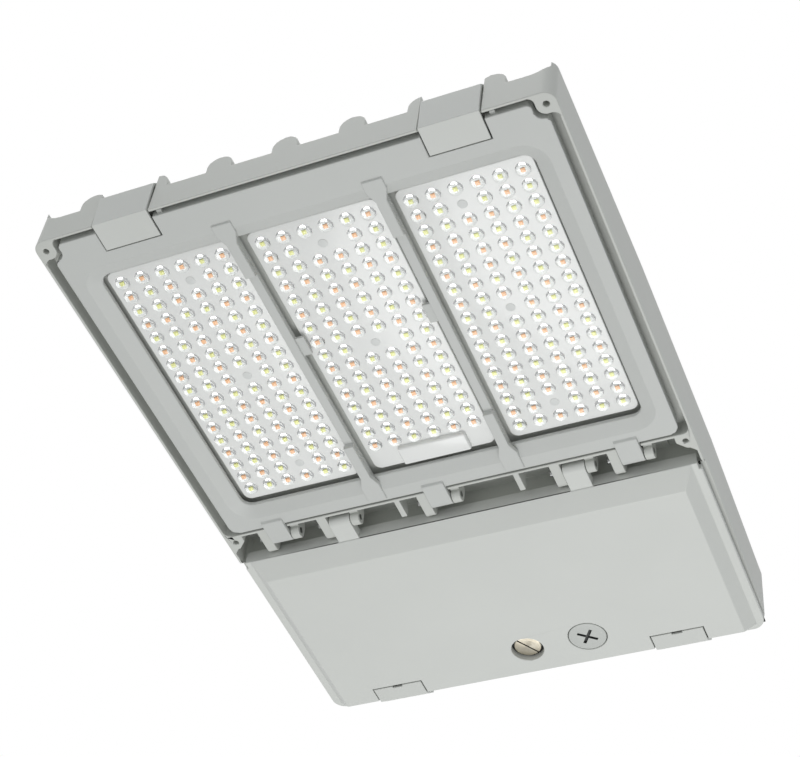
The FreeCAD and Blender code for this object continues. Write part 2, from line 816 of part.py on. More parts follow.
def fit_front_clips(body):
    """Recesses, inner walls and pin bores for the two front clips."""
    sides = (-1, 1)
    inner_wall = front_inner + d.rim_wall
    floor = d.clip_thickness - d.clip_leaf_low + d.clip_swing_gap
    walls = []
    recesses = []
    tops = []
    for sign in sides:
        centre = sign * d.clip_centre
        walls.append(rectangle(centre - clip_notch - 3, centre + clip_notch + 3, front_face + 1, inner_wall))
        recesses.append(rectangle(centre - clip_notch, centre + clip_notch, -1, d.clip_sill + 1))
        tops.append(rectangle(centre - clip_notch, centre + clip_notch, d.clip_sill, d.cheek_full + 1))
    pad(body, "ClipWalls", "XY", floor, walls, d.lip_height - floor)
    pocket(body, "ClipRecesses", "XZ", front_face - 1, recesses, d.rim_wall + 1)
    pocket(body, "ClipSeats", "XZ", front_face - 1, tops, d.clip_recess_rear - front_face + 1)
    for sign in sides:
        start = sign * d.clip_centre - clip_notch - 12
        pocket(body, "ClipPinBoreLeft" if sign < 0 else "ClipPinBoreRight", "YZ", start,
               [circle(d.front_pivot_y, d.front_pivot_z, d.clip_pin_radius)], 2 * (clip_notch + 12) - 3)


def add_mounting_pad(body):
    """Raised pad on the gear roof with four blind bolt holes round the wire entry."""
    half_length = d.pad_length / 2
    half_width = d.pad_width / 2
    pad(body, "MountingPad", "XY", d.cheek_full - 1, [rounded(
        -half_length, half_length, d.pad_y - half_width, d.pad_y + half_width, d.pad_corner)],
        d.pad_face - d.cheek_full + 1)
    bosses = [circle(x, y, d.bolt_boss) for x, y in bolt_places]
    bosses += [circle(x, y, 6) for x, y in tray_screws]
    pad(body, "RoofBosses", "XY", tray_top, bosses, gear_roof - tray_top + 1)
    pocket(body, "BoltHoles", "XY", d.pad_face - d.bolt_depth,
           [circle(x, y, d.bolt_radius) for x, y in bolt_places], d.bolt_depth + 1)
    pocket(body, "WireEntry", "XY", gear_roof - 1, [circle(0, d.pad_y, d.entry_radius)], d.pad_face)
    pocket(body, "TrayScrewHoles", "XY", tray_top - 1,
           [circle(x, y, d.tray_screw_radius + 0.1) for x, y in tray_screws], 7)


# ---------------------------------------------------------------- optical frame

def make_optical_frame():
    body = new_body("optical_frame")
    boss_inner = d.screw_line - d.boss_reach - d.boss_notch_gap
    boss_rear = d.boss_reach + d.boss_notch_gap
    notch_in = d.clip_centre - clip_notch
    notch_out = d.clip_centre + clip_notch
    notch_rear = d.clip_leaf_rear + d.clip_gap
    pad(body, "Plate", "XY", 0, [mirrored_outline([
        (notch_in, frame_front),
        (notch_in, notch_rear),
        (notch_out, notch_rear),
        (notch_out, frame_front),
        (boss_inner, frame_front),
        (boss_inner, boss_rear),
        (frame_half, boss_rear),
        (frame_half, frame_rear),
    ])], d.frame_height)
    round_edges(body, "RearCorners", upright_on(both_sides((frame_half, frame_rear))), d.frame_corner)
    round_edges(body, "BossNotches", upright_on(both_sides(
        (boss_inner, frame_front), (frame_half, boss_rear))), 4.0)
    round_edges(body, "BossNotchRoots", upright_on(both_sides((boss_inner, boss_rear))), 7.0)
    window = (-d.window_half, d.window_half, d.window_front, d.window_rear)
    pocket(body, "Window", "XY", -1, [rounded(*window, d.window_radius)], d.frame_height + 2)
    bevel_window(body)
    half = d.seal_groove / 2
    outer = rectangle(-d.seal_line - half, d.seal_line + half, d.seal_front - half, d.seal_rear + half)
    inner = rectangle(-d.seal_line + half, d.seal_line - half, d.seal_front + half, d.seal_rear - half)
    pocket(body, "SealGroove", "XY", d.frame_skin, [outer, inner], d.frame_height)
    thin_front = rectangle(-notch_in + 2.5, notch_in - 2.5, frame_front + 2.5, d.seal_front - half - 2)
    pocket(body, "FrontRelief", "XY", d.frame_skin, [thin_front], d.frame_height)
    add_bars(body)
    strikers = []
    for sign in (-1, 1):
        start = sign * d.clip_centre + clip_notch + 4.3
        strikers.append(rectangle(start, start + d.striker_width, frame_front - 3.2, frame_front + 1))
    pad(body, "Strikers", "XY", 3.0, strikers, 4.0)
    add_hooks(body)
    return body


def bevel_window(body):
    """The wide bevel round the window, on its lower edge; the cut runs on a little into the opening."""
    bevel = pocket(body, "WindowBevel", "XY", 0, [rounded(
        -d.window_half - d.bevel_width, d.window_half + d.bevel_width,
        d.window_front - d.bevel_width, d.window_rear + d.bevel_width,
        d.window_radius + d.bevel_width)], d.bevel_depth + 1, check=False)
    bevel.setExpression("TaperAngle", "atan(-1 * Sizes.bevel_width / Sizes.bevel_depth)")
    doc.recompute()


def add_bars(body):
    """Two bridge bars with flared, proud ends, and the small hold-down tabs beside them."""
    middle_low = d.window_front - d.bevel_width
    middle_high = d.window_rear + d.bevel_width
    neck = 75.0
    bars = []
    ends = []
    tabs = []
    for sign in (-1, 1):
        centre = sign * d.bar_offset
        bars.append(rectangle(centre - d.bar_half, centre + d.bar_half, middle_low, middle_high))
        ends.append([
            (centre - d.bar_flare, 20.0),
            (centre + d.bar_flare, 20.0),
            (centre + d.bar_flare, 30.0),
            (centre + d.bar_half + 0.5, 40.0),
            (centre + d.bar_half + 0.5, neck),
            (centre - d.bar_half - 0.5, neck),
            (centre - d.bar_half - 0.5, 40.0),
            (centre - d.bar_flare, 30.0),
        ])
        ends.append([
            (centre - d.bar_half - 0.5, 268.0),
            (centre + d.bar_half + 0.5, 268.0),
            (centre + d.bar_half + 0.5, 306.0),
            (centre + d.bar_flare, 316.0),
            (centre + d.bar_flare, 334.5),
            (centre - d.bar_flare, 334.5),
            (centre - d.bar_flare, 316.0),
            (centre - d.bar_half - 0.5, 306.0),
        ])
        tabs.append(rectangle(centre + sign * -1, centre + sign * -11.5, 148.0, 167.0))
    pad(body, "Bars", "XY", d.bar_low, bars, d.frame_height - d.bar_low)
    pad(body, "BarEnds", "XY", -d.bar_proud, ends, d.bar_proud + d.bar_low)
    pad(body, "HoldDownTabs", "XY", d.bar_low + 2, tabs, 3.0)


def knuckle(plate_start, plate_top):
    """Side view of a hinge knuckle on a flat arm that comes from the front."""
    low = d.hinge_z - d.knuckle_radius
    return [
        (plate_start, plate_top),
        (plate_start, 0.5),
        (plate_start + 1.5, low),
        (d.hinge_y, low, "half"),
        (d.hinge_y, d.hinge_z + d.knuckle_radius, d.knuckle_radius),
        (d.hinge_y - d.knuckle_radius, d.hinge_z),
        (d.hinge_y - d.knuckle_radius, plate_top),
    ]


def add_hooks(body):
    """Three hooks that pass under the crossbar to the hinge pins."""
    plate_top = as_size(1.5)
    for number, centre in enumerate(frame_knuckles, 1):
        left = centre - knuckle_half
        pad(body, f"Hook{number}", "YZ", left, [knuckle(as_size(329.0), plate_top)], d.knuckle_width)
        pocket(body, f"HookBore{number}", "YZ", left - 1,
               [circle(d.hinge_y, d.hinge_z, knuckle_bore)], d.knuckle_width + 2)


def make_frame_gasket():
    body = new_body("frame_gasket")
    half = d.seal_groove / 2 - d.seal_side_gap
    outer = rectangle(-d.seal_line - half, d.seal_line + half, d.seal_front - half, d.seal_rear + half)
    inner = rectangle(-d.seal_line + half, d.seal_line - half, d.seal_front + half, d.seal_rear - half)
    pad(body, "Ring", "XY", d.frame_skin, [outer, inner], d.seal_height)


# ---------------------------------------------------------------- light modules

def dome(x, y):
    """One lens as a six-sided dome, its wide end just inside the plate and its tip down."""
    rings = []
    face = d.lens_face.number
    for radius, height in ((d.lens_base.number, face + 0.2), (d.lens_tip.number, face - d.lens_rise.number)):
        ring = []
        for step in range(6):
            angle = math.radians(60 * step)
            ring.append(FreeCAD.Vector(
                x.number + radius * math.cos(angle), y.number + radius * math.sin(angle), height))
        rings.append(ring)
    top, tip = rings
    faces = [Part.Face(Part.makePolygon(ring + ring[:1])) for ring in rings]
    for step in range(6):
        after = (step + 1) % 6
        corners = [top[step], top[after], tip[after], tip[step], top[step]]
        faces.append(Part.Face(Part.makePolygon(corners)))
    return Part.makeSolid(Part.makeShell(faces))


def lens_places(side):
    """The lenses of a module: every grid place but the screw spots and the cable hump."""
    centre = module_centres[side]
    missing = {"left": {(4, row) for row in SCREW_ROWS}, "right": {(3, row) for row in SCREW_ROWS}}
    missing["middle"] = {(column, row) for column in (3, 4) for row in SCREW_ROWS[:2]}
    rows = ROWS - 1 if side == "middle" else ROWS
    places = []
    for row in range(1, rows + 1):
        for column in range(1, COLUMNS + 1):
            if (column, row) not in missing[side]:
                places.append((module_column(centre, column), module_row(row)))
    return places


def make_lens_plate(side):
    """Moulded plate of lenses, with a groove for its seal and a recess over the LEDs."""
    centre = module_centres[side]
    body = doc.addObject("PartDesign::Body", f"lens_blank_{side}")
    corners = [(centre + sign * module_half, y) for sign in (-1, 1) for y in (d.module_front, d.module_rear)]
    pad(body, "Plate", "XY", d.lens_face, [rectangle(
        centre - module_half, centre + module_half, d.module_front, d.module_rear)], board_low - d.lens_face)
    round_edges(body, "Corners", upright_on(corners), d.module_corner)
    groove_out = module_outline(centre, d.module_seal_inset)
    groove_in = module_outline(centre, d.module_seal_inset + d.module_seal_width)
    pocket(body, "SealGroove", "XY", board_low - d.module_seal_depth, [groove_out, groove_in], 5)
    recess = d.module_seal_inset + d.module_seal_width + 1.5
    pocket(body, "LedRecess", "XY", board_low - d.module_seal_depth, [module_outline(centre, recess)], 5)
    if side == "middle":
        x_low = centre + d.hump_centre - d.hump_half
        x_high = centre + d.hump_centre + d.hump_half
        pad(body, "CableHump", "XY", d.lens_face - d.hump_rise,
            [rectangle(x_low, x_high, d.hump_front, d.module_rear - 1)], d.hump_rise + 0.5)
        pocket(body, "HumpHollow", "XY", d.lens_face - d.hump_rise + 1.5,
               [rectangle(x_low + 2, x_high - 2, d.hump_front + 2, d.module_rear - 7)], 8)
    pocket(body, "ScrewHoles", "XY", 0,
           [circle(x, y, d.module_screw_radius + 0.2) for x, y in module_screws(side)], d.deck_under)
    plate = doc.addObject("Part::Feature", f"lens_plate_{side}")
    plate.Shape = body.Shape.fuse([dome(x, y) for x, y in lens_places(side)]).removeSplitter()
    seat(plate, f"lens_plate_{side}")


def module_outline(centre, inset):
    return rectangle(centre - module_half + inset, centre + module_half - inset,
                     d.module_front + inset, d.module_rear - inset)


def make_lens_seal(side):
    body = new_body(f"lens_seal_{side}")
    centre = module_centres[side]
    ease = 0.1
    outer = module_outline(centre, d.module_seal_inset + ease)
    inner = module_outline(centre, d.module_seal_inset + d.module_seal_width - ease)
    pad(body, "Ring", "XY", board_low - d.module_seal_depth + ease, [outer, inner], d.module_seal_depth - ease)


def make_led_board(side):
    body = new_body(f"led_board_{side}")
    centre = module_centres[side]
    pad(body, "Board", "XY", board_low, [module_outline(centre, d.board_inset)], d.board_thickness)
    pocket(body, "ScrewHoles", "XY", 0,
           [circle(x, y, d.module_screw_radius + 0.2) for x, y in module_screws(side)], BIG)


def make_board_connector():
    body = new_body("board_connector")
    y = (d.hump_front + d.module_rear - 5) / 2
    base = rectangle(d.hump_centre - 12, d.hump_centre + 12, y - 3.5, y + 3.5)
    pad(body, "Base", "XY", d.lens_face - 1.5, [base], board_low - d.lens_face + 1.5)
    mouths = [rectangle(d.hump_centre + x - 1, d.hump_centre + x + 1, y - 2, y + 2) for x in (-8, -4, 0, 4, 8)]
    pocket(body, "Mouths", "XY", d.lens_face - 2, mouths, 2.5)


def screw(name, x, y, face, head_radius, head, shank_radius, shank):
    """A small screw that points up: a ten-sided head above its face height, and an eight-sided shank."""
    cap = doc.addObject("Part::Prism", name + "Head")
    stem = doc.addObject("Part::Prism", name + "Stem")
    cap.Polygon = 10
    stem.Polygon = 8
    for piece, radius, height, bottom in ((cap, head_radius, head, face), (stem, shank_radius, shank, face + head)):
        piece.setExpression("Circumradius", as_size(radius).formula)
        piece.setExpression("Height", as_size(height).formula)
        piece.setExpression("Placement.Base.x", as_size(x).formula)
        piece.setExpression("Placement.Base.y", as_size(y).formula)
        piece.setExpression("Placement.Base.z", as_size(bottom).formula)
    whole = doc.addObject("Part::MultiFuse", name)
    whole.Shapes = [cap, stem]
    return whole


def make_module_screws():
    face = d.lens_face - d.module_head
    length = d.deck_under + 3.5 - d.lens_face
    group("module_screws", [
        screw(f"ModuleScrew{number}", x, y, face, d.module_head_radius, d.module_head,
              d.module_screw_radius, length)
        for number, (x, y) in enumerate(all_module_screws, 1)])


# ---------------------------------------------------------------- gear cover

def make_gear_cover():
    body = new_body("gear_cover")
    pad(body, "Flange", "XY", -d.cover_flange_low, [mirrored_outline([
        (d.cover_half, d.cover_front),
        (d.cover_half, d.rear_face - d.cover_rear_corner, d.cover_rear_corner),
        (d.cover_half - d.cover_rear_corner, d.rear_face),
    ])], d.cover_flange_low + d.cover_flange_high)
    low = sketch(body, "FaceSketch", "XY", -d.cover_depth, [rectangle(
        -d.cover_face_half, d.cover_face_half, d.cover_face_front, d.cover_face_rear)])
    high = sketch(body, "BevelTopSketch", "XY", -d.cover_flange_low, [rectangle(
        -d.cover_bevel_half, d.cover_bevel_half, d.cover_bevel_front, d.cover_bevel_rear)])
    pan = body.newObject("PartDesign::AdditiveLoft", "Pan")
    pan.Profile = low
    pan.Sections = [high]
    pan.Ruled = True
    doc.recompute()
    lip_half = rim_inner - 4
    lip_rear = d.cover_bevel_front + d.cover_wall + 0.2
    pad(body, "FrontLip", "XY", -d.cover_flange_low,
        [rectangle(-lip_half, lip_half, d.cover_bevel_front, lip_rear)], d.cover_flange_low + d.cover_lip_top)
    pad(body, "FrontLedge", "XY", -d.cover_flange_low,
        [rectangle(-lip_half, lip_half, lip_rear - 1, d.cover_front + 1)],
        d.cover_flange_low + d.cover_flange_high)
    upper = gear_outline(d.cover_ledge, d.cover_front + d.cover_ledge, d.cover_ledge + 6, 6)
    pocket(body, "UpperHollow", "XY", -0.2, [upper], 20)
    deep = gear_outline(d.cover_half - d.cover_face_half + 1.5, d.cover_face_front + 3,
                        d.rear_face - d.cover_face_rear + d.cover_wall, 4)
    pocket(body, "DeepHollow", "XY", -d.cover_depth + d.cover_wall, [deep], 20)
    pad(body, "LockBoss", "XY", -d.cover_depth,
        [circle(0, d.lock_y, d.lock_boss_radius)], d.cover_depth + lock_boss_top)
    pad(body, "PlugBoss", "XY", -d.cover_depth,
        [circle(d.plug_x, d.plug_y, d.plug_boss_radius)], d.cover_depth - 4)
    lock_seat = d.lock_set_back + d.lock_head_height + 0.2
    pocket(body, "LockRecess", "XY", -d.cover_depth - 1,
           [circle(0, d.lock_y, d.lock_recess_radius)], lock_seat + 1)
    pocket(body, "LockBore", "XY", -d.cover_depth - 1, [circle(0, d.lock_y, d.lock_shank + 0.05)], 30)
    pocket(body, "PlugRecess", "XY", -d.cover_depth - 1,
           [circle(d.plug_x, d.plug_y, d.plug_radius + d.plug_gap)], d.plug_head + d.plug_seal + 1)
    pocket(body, "PlugBore", "XY", -d.cover_depth - 1,
           [circle(d.plug_x, d.plug_y, d.plug_shank + 0.2)], 30)
    notches = [rectangle(sign * d.clip_centre - clip_notch, sign * d.clip_centre + clip_notch,
                         cover_notch_front, d.rear_face + 2) for sign in (-1, 1)]
    pocket(body, "ClipNotches", "XY", -d.cover_depth - 1, notches, 30)
    add_cover_knuckles(body)


def add_cover_knuckles(body):
    """Two arms from the cover's front lip to the hinge pins."""
    low = d.hinge_z - d.knuckle_radius
    lip_rear = d.cover_bevel_front + d.cover_wall
    arm = [
        (d.hinge_y - d.knuckle_radius, d.hinge_z, d.knuckle_radius),
        (d.hinge_y, low),
        (lip_rear, low),
        (lip_rear, d.hinge_z + 3),
        (d.hinge_y + d.knuckle_radius, d.hinge_z + 4),
        (d.hinge_y, d.hinge_z + d.knuckle_radius, d.knuckle_radius),
    ]
    for number, centre in enumerate(cover_knuckles, 1):
        left = centre - knuckle_half
        pad(body, f"Arm{number}", "YZ", left, [arm], d.knuckle_width)
        pocket(body, f"ArmBore{number}", "YZ", left - 1,
               [circle(d.hinge_y, d.hinge_z, knuckle_bore)], d.knuckle_width + 2)


def make_cover_gasket():
    body = new_body("cover_gasket")
    outer_front = d.partition_front - 0.3
    inner_front = outer_front + d.gasket_width
    outer = gear_outline(d.gasket_inset, outer_front, d.gasket_inset, d.gasket_inset)
    inset = d.gasket_inset + d.gasket_width
    inner = gear_outline(inset, inner_front, inset, inset)
    pad(body, "Ring", "XY", d.cover_flange_high, [outer, inner], d.gasket_thickness)


# ---------------------------------------------------------------- lock and plug

def make_lock():
    low = -d.cover_depth + d.lock_set_back
    head = new_body("lock_head")
    shank_low = low + d.lock_head_height
    cam_low = d.gear_lift + d.shelf_thickness + d.cam_clearance
    pad(head, "Head", "XY", low, [circle(0, d.lock_y, d.lock_head_radius)], d.lock_head_height)
    nut_low = lock_boss_top + 0.2
    shank_top = nut_low + d.lock_nut_height
    pad(head, "Shank", "XY", shank_low, [circle(0, d.lock_y, d.lock_shank)], shank_top - shank_low)
    pad(head, "Spindle", "XY", shank_top - 1, [rectangle(
        -4, 4, d.lock_y - 4, d.lock_y + 4)], cam_low + d.cam_thickness - shank_top + 1)
    cut_slot(head, low)
    nut = new_body("lock_nut")
    hexagon = []
    for step in range(6):
        angle = math.radians(60 * step)
        hexagon.append((d.lock_nut_radius * round(math.cos(angle), 6),
                        d.lock_y + d.lock_nut_radius * round(math.sin(angle), 6)))
    pad(nut, "Nut", "XY", nut_low, [hexagon, circle(0, d.lock_y, d.lock_shank + 0.05)], d.lock_nut_height)
    cam = new_body("lock_cam")
    tip = d.cam_length - d.cam_width / 2
    half = d.cam_width / 2
    pad(cam, "Lever", "XY", cam_low, [[
        (-half, d.lock_y + 7.0),
        (-half, d.lock_y - tip, "half"),
        (half, d.lock_y - tip),
        (half, d.lock_y + 7.0),
    ]], d.cam_thickness)
    pocket(cam, "SquareHole", "XY", cam_low - 1,
           [rectangle(-4.05, 4.05, d.lock_y - 4.05, d.lock_y + 4.05)], d.cam_thickness + 2)


def cut_slot(head, low):
    """The screwdriver slot across the lock's head."""
    angle = math.radians(d.slot_angle.number)
    half = d.slot_width.number / 2
    reach = d.lock_head_radius.number + 2
    corners = []
    for along, across in ((-reach, -half), (reach, -half), (reach, half), (-reach, half)):
        x = along * math.cos(angle) - across * math.sin(angle)
        y = along * math.sin(angle) + across * math.cos(angle)
        corners.append((as_size(round(x, 4)), d.lock_y + round(y, 4)))
    pocket(head, "Slot", "XY", low - 1, [corners], d.slot_depth + 1)


def make_access_plug():
    low = -d.cover_depth
    body = new_body("access_plug")
    pad(body, "Head", "XY", low, [circle(d.plug_x, d.plug_y, d.plug_radius)], d.plug_head)
    pad(body, "Shank", "XY", low + d.plug_head, [circle(d.plug_x, d.plug_y, d.plug_shank)],
        d.cover_depth - 4 - d.plug_head + 1)
    pad(body, "Nut", "XY", -4 + 0.0, [circle(d.plug_x, d.plug_y, d.plug_shank + 2)], 2.5)
    arm, half = d.cross_half, d.cross_width / 2
    cross = [
        (d.plug_x - arm, d.plug_y - half), (d.plug_x - half, d.plug_y - half),
        (d.plug_x - half, d.plug_y - arm), (d.plug_x + half, d.plug_y - arm),
        (d.plug_x + half, d.plug_y - half), (d.plug_x + arm, d.plug_y - half),
        (d.plug_x + arm, d.plug_y + half), (d.plug_x + half, d.plug_y + half),
        (d.plug_x + half, d.plug_y + arm), (d.plug_x - half, d.plug_y + arm),
        (d.plug_x - half, d.plug_y + half), (d.plug_x - arm, d.plug_y + half),
    ]
    pocket(body, "Cross", "XY", low - 1, [cross], d.cross_depth + 1)
    seal = new_body("access_plug_seal")
    pad(seal, "Ring", "XY", low + d.plug_head, [
        circle(d.plug_x, d.plug_y, d.plug_radius - 0.5),
        circle(d.plug_x, d.plug_y, d.plug_shank + 0.4)], d.plug_seal)


# ---------------------------------------------------------------- clips and pins

def make_front_clip(side, sign):
    """A bent clip: leaf under the window frame, riser up the front face, barrel on its pin."""
    body = new_body(f"front_clip_{side}")
    top = d.front_pivot_z - d.clip_barrel
    leaf_top = d.clip_thickness - d.clip_leaf_low
    profile = [
        (d.clip_leaf_rear, -d.clip_leaf_low),
        (d.clip_leaf_rear, leaf_top),
        (clip_inner_face, leaf_top),
        (clip_inner_face - d.clip_lean, top),
        (d.front_pivot_y, top, "half"),
        (d.front_pivot_y, d.front_pivot_z + d.clip_barrel),
        (clip_outer_face + 4, d.front_pivot_z + 3),
        (clip_outer_face - d.clip_lean, top + 1),
        (clip_outer_face, -d.clip_leaf_low),
    ]
    centre = sign * d.clip_centre
    pad(body, "Bend", "YZ", centre - d.clip_half, [profile], 2 * d.clip_half)
    pocket(body, "Bore", "YZ", centre - d.clip_half - 1,
           [circle(d.front_pivot_y, d.front_pivot_z, d.clip_pin_radius + d.hinge_fit)], 2 * d.clip_half + 2)


def make_rear_clip(side, sign):
    """The rear clip: leaf in the cover's notch, riser behind it, barrel between two ears."""
    body = new_body(f"rear_clip_{side}")
    low = rear_clip_low
    thick = d.clip_thickness
    profile = [
        (d.rear_clip_front, low),
        (d.rear_clip_turn, low),
        (rear_riser + thick, low + 12),
        (rear_riser + thick, d.rear_pivot_z - 8),
        (rear_pivot_y + d.rear_barrel, d.rear_pivot_z, "half"),
        (rear_pivot_y - d.rear_barrel, d.rear_pivot_z),
        (rear_riser, d.rear_pivot_z - 6),
        (rear_riser, low + 13.2),
        (d.rear_clip_turn - 1, low + thick),
        (d.rear_clip_front, low + thick),
    ]
    centre = sign * d.clip_centre
    pad(body, "Bend", "YZ", centre - d.clip_half, [profile], 2 * d.clip_half)
    pocket(body, "Bore", "YZ", centre - d.clip_half - 1,
           [circle(rear_pivot_y, d.rear_pivot_z, d.clip_pin_radius + d.hinge_fit)], 2 * d.clip_half + 2)
    pocket(body, "PryNotch", "XY", low - 1, [rectangle(
        centre - 5, centre + 5, d.rear_clip_front - 1, d.rear_clip_front + 2)], thick + 2)


def pin(name, left, length, y, z, radius):
    """A plain pin along X."""
    rod = doc.addObject("Part::Cylinder", name)
    rod.setExpression("Radius", as_size(radius).formula)
    rod.setExpression("Height", as_size(length).formula)
    rod.Placement.Rotation = FreeCAD.Rotation(FreeCAD.Vector(0, 1, 0), 90)
    rod.setExpression("Placement.Base.x", as_size(left).formula)
    rod.setExpression("Placement.Base.y", as_size(y).formula)
    rod.setExpression("Placement.Base.z", as_size(z).formula)
    return rod


def make_pins():
    for label, centres in (("frame_hinge_pins", frame_knuckles), ("cover_hinge_pins", cover_knuckles)):
        length = d.pin_stand + d.ear_width + d.knuckle_width + 2 * d.side_play + d.boss_width
        group(label, [
            pin(f"{label}_{number}", centre - knuckle_half - d.side_play - d.ear_width - d.pin_stand,
                length, d.hinge_y, d.hinge_z, d.pin_radius)
            for number, centre in enumerate(centres, 1)])
    group("front_clip_pins", [
        pin(f"front_clip_pin_{number}", sign * d.clip_centre - clip_notch - 10, 2 * (clip_notch + 10) - 3,
            d.front_pivot_y, d.front_pivot_z, d.clip_pin_radius)
        for number, sign in enumerate((-1, 1), 1)])
    rear_half = clip_notch + d.rear_ear_width
    group("rear_clip_pins", [
        pin(f"rear_clip_pin_{number}", sign * d.clip_centre - rear_half, 2 * rear_half,
            rear_pivot_y, d.rear_pivot_z, d.clip_pin_radius)
        for number, sign in enumerate((-1, 1), 1)])


# ---------------------------------------------------------------- gear tray

def make_gear_tray():
    body = new_body("gear_tray")
    pad(body, "Plate", "XY", tray_low, [
        rectangle(-d.tray_half, d.tray_half, d.tray_front, d.tray_rear),
        circle(0, d.pad_y, d.entry_flange + 8)], d.tray_thickness)
    lips = [rectangle(-d.tray_half, d.tray_half, d.tray_front, d.tray_front + d.tray_thickness),
            rectangle(-d.tray_half, d.tray_half, d.tray_rear - d.tray_thickness, d.tray_rear)]
    pad(body, "Lips", "XY", tray_low - d.tray_lip, lips, d.tray_lip + d.tray_thickness)
    holes = [circle(x, y, d.tray_screw_radius + 0.2) for x, y in tray_screws]
    holes += [circle(x, y, d.module_screw_radius + 0.1) for x, y in driver_screws]
    pocket(body, "ScrewHoles", "XY", tray_low - 1, holes, 5)


def make_tray_screws():
    group("tray_screws", [
        screw(f"TrayScrew{number}", x, y, tray_low - 2.6, 4.0, 2.6, d.tray_screw_radius, 7)
        for number, (x, y) in enumerate(tray_screws, 1)])


def make_driver_screws():
    group("driver_screws", [
        screw(f"DriverScrew{number}", x, y, tray_low - 4, 2.8, 2, d.module_screw_radius, 5)
        for number, (x, y) in enumerate(driver_screws, 1)])


def make_driver(side, sign):
    """A metal-cased LED driver with a mounting foot at each end."""
    body = new_body(f"driver_{side}")
    centre = sign * d.driver_x
    half_length = d.driver_length / 2
    half_width = d.driver_width / 2
    low = tray_low - d.driver_height
    case = [(half_width, tray_low), (half_width, low + 3), (half_width - 3, low)]
    outline = [(d.driver_y + y, z) for y, z in case] + [(d.driver_y - y, z) for y, z in reversed(case)]
    pad(body, "Case", "YZ", centre - half_length + d.driver_foot, [outline], d.driver_length - 2 * d.driver_foot)
    pad(body, "Feet", "XY", tray_low - 2, [rectangle(
        centre - half_length, centre + half_length, d.driver_y - half_width + 8, d.driver_y + half_width - 8)], 2)
    screws = [place for place in driver_screws if place[0].number * sign > 0]
    pocket(body, "FootHoles", "XY", tray_low - 3,
           [circle(x, y, d.module_screw_radius + 0.2) for x, y in screws], 5)


def make_surge_protector():
    body = new_body("surge_protector")
    x, y = d.surge_length / 2, d.surge_width / 2
    low = tray_low - d.surge_height
    pad(body, "Case", "XY", low, [rectangle(d.surge_x - x, d.surge_x + x, d.surge_y - y, d.surge_y + y)],
        d.surge_height)
    places = [(d.surge_x + sx * x, d.surge_y + sy * y) for sx in (-1, 1) for sy in (-1, 1)]
    round_edges(body, "Corners", upright_on(places), 4.0)


def make_terminal_block():
    """Five ways, each with a wire mouth and a screw well."""
    body = new_body("terminal_block")
    half = d.terminal_width / 2
    low = tray_low - d.terminal_height
    ways = 5
    length = ways * d.terminal_pitch
    left = d.terminal_x - length / 2
    pad(body, "Block", "XY", low, [rectangle(left, left + length, d.terminal_y - half, d.terminal_y + half)],
        d.terminal_height)
    mouths = []
    wells = []
    for way in range(ways):
        x = left + (way + 0.5) * d.terminal_pitch
        mouths.append(rectangle(x - 3, x + 3, low + 8, low + 14))
        wells.append(rectangle(x - 2.5, x + 2.5, d.terminal_y - 2.5, d.terminal_y + 2.5))
    pocket(body, "Mouths", "XZ", d.terminal_y - half - 1, mouths, 9)
    pocket(body, "ScrewWells", "XY", low - 1, wells, 5)


def make_entry_grommet():
    """Rubber grommet in the wire entry, turned about its bore."""
    body = new_body("entry_grommet")
    flange_low = gear_roof - 2.5
    neck = d.entry_radius - 0.05
    pad(body, "Flange", "XY", flange_low, [circle(0, d.pad_y, d.entry_flange)], 2.5)
    pad(body, "Neck", "XY", gear_roof, [circle(0, d.pad_y, neck)], d.pad_face - gear_roof - 1)
    pocket(body, "Bore", "XY", flange_low - 1, [circle(0, d.pad_y, d.entry_bore)], 20)


# ---------------------------------------------------------------- build and write

make_housing()
make_optical_frame()
make_frame_gasket()
for module_side in module_centres:
    make_led_board(module_side)
    make_lens_seal(module_side)
    make_lens_plate(module_side)
make_board_connector()
make_module_screws()
make_gear_cover()
make_cover_gasket()
make_lock()
make_access_plug()
for clip_side, clip_sign in (("left", -1), ("right", 1)):
    make_front_clip(clip_side, clip_sign)
    make_rear_clip(clip_side, clip_sign)
    make_driver(clip_side, clip_sign)
make_pins()
make_gear_tray()
make_tray_screws()
make_driver_screws()
make_surge_protector()
make_terminal_block()
make_entry_grommet()

for piece in pieces:
    if piece.isDerivedFrom("PartDesign::Body"):
        piece.Tip.Refine = True
doc.recompute()
for thing in doc.Objects:
    if "Invalid" in thing.State or "Error" in thing.State:
        raise RuntimeError(f"{thing.Label} did not build: {thing.State}")
for piece in pieces:
    if piece.Shape.isNull() or not piece.Shape.isValid() or not piece.Shape.Solids:
        raise RuntimeError(f"{piece.Label} has no valid solid")

os.makedirs("parts", exist_ok=True)
for piece in pieces:
    piece.Shape.exportStep(f"parts/{piece.Label}.step")
    print(f"{piece.Label:24s} {len(piece.Shape.Solids)} solid(s) {piece.Shape.Volume / 1000:9.1f} cm3")
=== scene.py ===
"""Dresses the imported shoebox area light: coated castings, lens field, lock, plug, clips, gear and stage."""

import math

import bmesh
import bpy
from mathutils import Matrix, Vector


